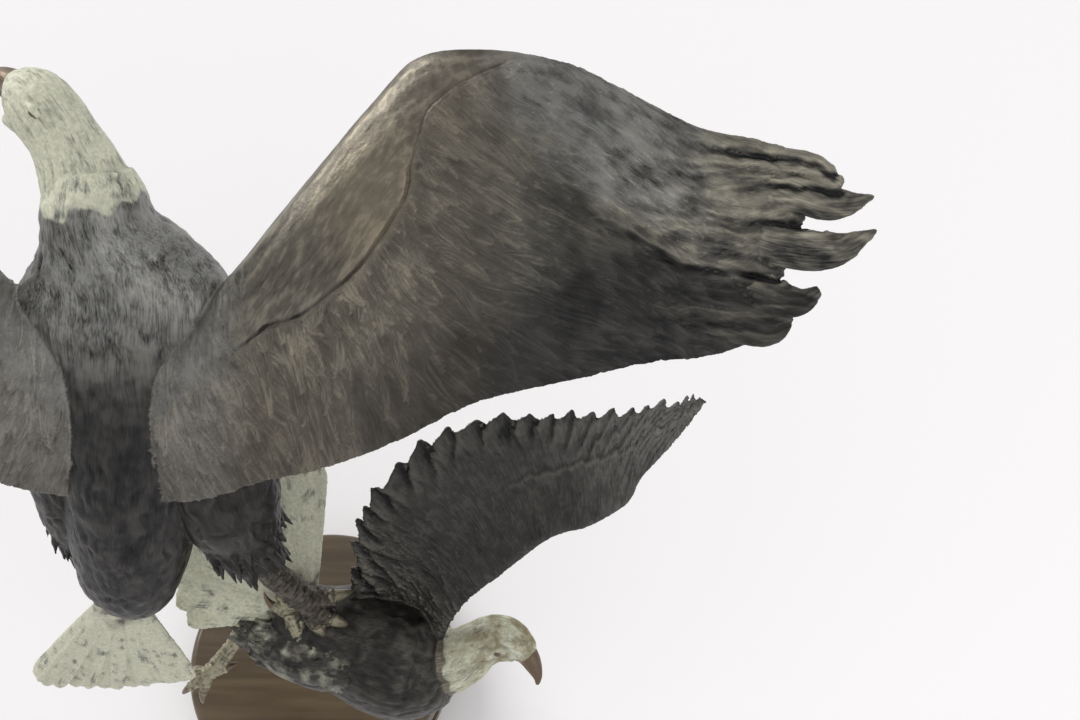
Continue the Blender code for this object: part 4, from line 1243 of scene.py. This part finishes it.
def turning_tree():
    """Geometry nodes that turn an outline about the Z axis."""
    inputs = {
        "Radius": ("NodeSocketFloat", 0.1),
        "Turns": ("NodeSocketInt", 192),
        "Wood": ("NodeSocketMaterial", None),
    }
    tree = new_tree("turned_on_a_lathe", inputs)
    start = add(tree, "NodeGroupInput")
    outline = add(tree, "GeometryNodeMeshToCurve", {"Mesh": start.outputs["Geometry"]})
    circle = add(tree, "GeometryNodeCurvePrimitiveCircle",
                 {"Resolution": start.outputs["Turns"], "Radius": start.outputs["Radius"]})
    turned = add(tree, "GeometryNodeCurveToMesh", {"Curve": circle, "Profile Curve": outline})
    whole = add(tree, "GeometryNodeMergeByDistance", {"Geometry": turned, "Distance": 0.00002})
    end_tree(tree, whole.outputs[0], start.outputs["Wood"])
    return tree


def colour(code, name, description):
    """A colour property from its sRGB hex code."""
    return bpy.props.FloatVectorProperty(name=name, description=description, subtype="COLOR", size=3,
                                         min=0.0, max=1.0, default=linear(code))


def amount(name, description, value, **more):
    """A number property with its default value."""
    return bpy.props.FloatProperty(name=name, description=description, default=value, **more)


class EagleSizes(bpy.types.PropertyGroup):
    """Sizes of the feather relief, in millimetres."""

    stroke_width: amount("Stroke width", "Width of a broad modelling stroke, mm", 5.0)
    stroke_length: amount("Stroke length", "Length of a modelling stroke, mm", 27.0)
    stroke_depth: amount("Stroke depth", "Depth of the strokes, mm", 0.62)
    groove_depth: amount("Crease depth", "Depth of the crease behind the arm, mm", 1.5)
    feather_step: amount("Feather step", "Step from vane to vane on the lower wings, mm", 2.2)
    grain: amount("Grain", "Size of the skin's own cells, mm", 0.75)
    wing_cut: amount("Wing cut", "From the middle of the back to where a wing's piece starts, mm", 74.0)
    hand_cut: amount("Hand cut", "Where the right wing's outer piece starts, mm along X", 190.0)


class BronzeFinish(bpy.types.PropertyGroup):
    """Colours of the patina."""

    hollow: colour("#1c1d1f", "Hollow", "Blue-black patina left in hollows")
    brown: colour("#65625a", "Brown", "Brown patina of the broad surfaces")
    ridge: colour("#a8a392", "Ridge", "Rubbed ridges of the strokes")
    warm: colour("#948771", "Warm skin", "Warmer brown of the smooth skin ahead of the arm")
    # Painted blue-grey sheen that stands for reflected sky
    painted_sheen: colour("#979998", "Cool", "Blue-grey sheen of the hand and the neck")
    leg: colour("#a5a088", "Leg", "Olive-white patina on legs and toes")
    horn: colour("#6b5a4c", "Horn", "Brown of beaks and claws")
    pale_green: colour("#bcc0ab", "Pale green", "Green side of the pale patina")
    pale_cream: colour("#dad8c3", "Pale cream", "Cream side of the pale patina")
    pale_grey: colour("#5f625d", "Pale grey", "Grey in the hollows of the pale patina")
    pale_ochre: colour("#857c5c", "Pale ochre", "Ochre stains on the lower head")


class PlinthShape(bpy.types.PropertyGroup):
    """Sizes of the turned plinth."""

    top_rounding: amount("Top rounding", "Radius of the upper edge", 6.0 * MM, unit="LENGTH")
    cove: amount("Cove", "Radius of the hollow above the foot", 7.0 * MM, unit="LENGTH")
    foot: amount("Foot height", "Height of the foot below the hollow", 10.0 * MM, unit="LENGTH")
    chamfer: amount("Foot chamfer", "Chamfer round the underside", 1.5 * MM, unit="LENGTH")
    turns: bpy.props.IntProperty(name="Turns", description="Steps round the axis", default=192, min=24)


class PlinthFinish(bpy.types.PropertyGroup):
    """Colours of the plinth's wood."""

    heartwood: colour("#463a2b", "Heartwood", "Dark stained wood")
    light_grain: colour("#5e503c", "Light grain", "Lighter bands of the grain")


class StageLook(bpy.types.PropertyGroup):
    """Floor and lights."""

    floor: colour("#f4f3f4", "Floor", "Matt white sheet under the work")
    sky: amount("Surround", "Strength of the white surround", 0.72)
    key: amount("Window light", "Strength of the broad light from the back left", 1.8)
    fill: amount("Fill light", "Power of the soft light behind the camera", 3.0, unit="POWER")


class EAGLES_OT_upper(bpy.types.Operator):
    """Make the upper eagle, in pieces that part at the shoulders and across the right wing"""

    bl_idname = "eagles.upper"
    bl_label = "Upper eagle"

    def execute(self, context):
        sizes = context.scene.eagle_sizes
        metal = bpy.data.materials.get("patinated_bronze_waxed") or bronze()
        cast = Cast(7)
        wings = build_upper(cast, sizes)
        way = unit(BACK_ACROSS)
        shoulders = [np.array(BACK_MIDDLE) + out * sizes.wing_cut * way for out in (1, -1)]
        cuts = [(place, way) for place in shoulders] + [((sizes.hand_cut, 0, 0), (1, 0, 0))]
        bird = carve("upper", cast, wings, sizes, metal, cuts)
        centre = bird["points"][bird["faces"]].mean(1) / MM
        side = (centre - BACK_MIDDLE) @ way
        high = centre[:, 2] > WINGS_ABOVE
        right, left = high & (side > sizes.wing_cut), high & (side < -sizes.wing_cut)
        hand = right & (centre[:, 0] > sizes.hand_cut)
        for name, rows, budget in (
            ("upper_right_arm", right & ~hand, RIGHT_ARM),
            ("upper_right_hand", hand, RIGHT_HAND),
            ("upper_left_wing", left, LEFT_WING),
            ("upper_body", ~(right | left), UPPER_BODY),
        ):
            piece(name, bird, rows, budget)
        bpy.data.objects.remove(bird["forms"])
        return {"FINISHED"}


class EAGLES_OT_lower(bpy.types.Operator):
    """Make the lower eagle, which stands on the feather ends of one wing"""

    bl_idname = "eagles.lower"
    bl_label = "Lower eagle"

    def execute(self, context):
        sizes = context.scene.eagle_sizes
        metal = bpy.data.materials.get("patinated_bronze_waxed") or bronze()
        cast = Cast(9)
        wings = build_lower(cast, sizes)
        bird = carve("lower", cast, wings, sizes, metal)
        piece("lower_eagle", bird, slice(None), LOWER_EAGLE)
        bpy.data.objects.remove(bird["forms"])
        return {"FINISHED"}


class EAGLES_OT_plinth(bpy.types.Operator):
    """Turn the round plinth with its rounded top edge, cove and foot"""

    bl_idname = "eagles.plinth"
    bl_label = "Plinth"

    def execute(self, context):
        shape = context.scene.plinth_shape
        low, high = PLINTH_BOX
        radius, height = (high[0] - low[0]) / 2, high[2]
        outline = [(0.0, height)]
        for k in range(11):
            angle = math.radians(90 - 9 * k)
            outline.append((radius + shape.top_rounding * (math.cos(angle) - 1),
                            height + shape.top_rounding * (math.sin(angle) - 1)))
        for k in range(17):
            angle = math.radians(90 + 11.25 * k)
            outline.append((radius + shape.cove * math.cos(angle),
                            shape.foot + shape.cove * (math.sin(angle) + 1)))
        outline += [(radius, shape.chamfer), (radius - shape.chamfer, 0.0), (0.0, 0.0)]
        mesh = bpy.data.meshes.new("outline")
        edges = [(k, k + 1) for k in range(len(outline) - 1)]
        mesh.from_pydata([(x - radius, -z, 0.0) for x, z in outline], edges, [])
        thing = new_object("turned_plinth", mesh)
        values = {"Radius": radius, "Turns": shape.turns, "Wood": walnut()}
        run_tree(thing, turning_tree(), values)
        bm = bmesh.new()
        bm.from_mesh(thing.data)
        bmesh.ops.recalc_face_normals(bm, faces=bm.faces[:])
        bm.to_mesh(thing.data)
        bm.free()
        thing.data.shade_smooth()
        thing.data.set_sharp_from_angle(angle=math.radians(30))
        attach(thing, "root")
        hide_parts("plinth")
        return {"FINISHED"}


class EAGLES_OT_stage(bpy.types.Operator):
    """Set the white floor, the soft lights and the camera"""

    bl_idname = "eagles.stage"
    bl_label = "Floor, lights and camera"

    def execute(self, context):
        scene = context.scene
        look = scene.stage_look
        mesh = bpy.data.meshes.new("floor")
        reach = 3.0
        corners = [(-reach, -reach, 0), (reach, -reach, 0), (reach, reach, 0), (-reach, reach, 0)]
        mesh.from_pydata(corners, [], [(0, 1, 2, 3)])
        sheet = bpy.data.materials.new("matt_white_sheet")
        sheet.use_nodes = True
        shader = sheet.node_tree.nodes["Principled BSDF"]
        shader.inputs["Base Color"].default_value = (*look.floor, 1)
        shader.inputs["Roughness"].default_value = 0.9
        shader.inputs["Specular IOR Level"].default_value = 0.2
        mesh.materials.append(sheet)
        new_object("floor", mesh)
        world = bpy.data.worlds.new("white_surround")
        world.use_nodes = True
        world.node_tree.nodes["Background"].inputs["Color"].default_value = (1.0, 0.99, 0.99, 1)
        world.node_tree.nodes["Background"].inputs["Strength"].default_value = look.sky
        scene.world = world
        lights = (
            ("window_light", "SUN", (-0.65, 0.55, 0.52), look.key),
            ("camera_side_light", "AREA", (0.9, -1.1, 1.6), look.fill),
        )
        for name, kind, place, power in lights:
            lamp = bpy.data.lights.new(name, kind)
            lamp.energy = power
            lamp.color = (1.0, 0.99, 0.98)
            if kind == "SUN":
                lamp.angle = math.radians(35)
            else:
                lamp.shape, lamp.size = "DISK", 0.9
            thing = bpy.data.objects.new(name, lamp)
            scene.collection.objects.link(thing)
            thing.location = place
            toward = -np.array(place)
            thing.rotation_euler = (math.atan2(math.hypot(toward[0], toward[1]), -toward[2]), 0,
                                    math.atan2(-toward[0], toward[1]))
        lens = bpy.data.cameras.new("camera")
        lens.lens, lens.sensor_width = CAMERA_LENS, SENSOR_WIDTH
        lens.clip_start = 0.02
        camera = bpy.data.objects.new("camera", lens)
        scene.collection.objects.link(camera)
        camera.location = CAMERA_PLACE
        camera.rotation_euler = (CAMERA_TILT, 0, 0)
        scene.camera = camera
        scene.view_settings.view_transform = "Standard"
        return {"FINISHED"}


class EAGLES_PT_panel(bpy.types.Panel):
    """The sculpture's operators and values in the sidebar"""

    bl_idname = "EAGLES_PT_panel"
    bl_label = "Fighting eagles"
    bl_space_type = "VIEW_3D"
    bl_region_type = "UI"
    bl_category = "Eagles"

    def draw(self, context):
        for name in GROUPS:
            box = self.layout.box()
            group = getattr(context.scene, name)
            for label in group.__annotations__:
                box.prop(group, label)
        for operator in OPERATORS:
            self.layout.operator(operator.bl_idname)


GROUPS = {
    "eagle_sizes": EagleSizes,
    "bronze_finish": BronzeFinish,
    "plinth_shape": PlinthShape,
    "plinth_finish": PlinthFinish,
    "stage_look": StageLook,
}
OPERATORS = (EAGLES_OT_upper, EAGLES_OT_lower, EAGLES_OT_plinth, EAGLES_OT_stage)


def register():
    """Registers the classes and hangs the property groups on the scene."""
    for item in (*GROUPS.values(), *OPERATORS, EAGLES_PT_panel):
        bpy.utils.register_class(item)
    for name, group in GROUPS.items():
        setattr(bpy.types.Scene, name, bpy.props.PointerProperty(type=group))


def unregister():
    """Takes the property groups and the classes away again."""
    for name in GROUPS:
        delattr(bpy.types.Scene, name)
    for item in (EAGLES_PT_panel, *reversed(OPERATORS), *GROUPS.values()):
        bpy.utils.unregister_class(item)


def main():
    """Makes the sculpture and its stage."""
    register()
    bpy.ops.eagles.upper()
    bpy.ops.eagles.lower()
    bpy.ops.eagles.plinth()
    bpy.ops.eagles.stage()


if __name__ == "__main__":
    main()
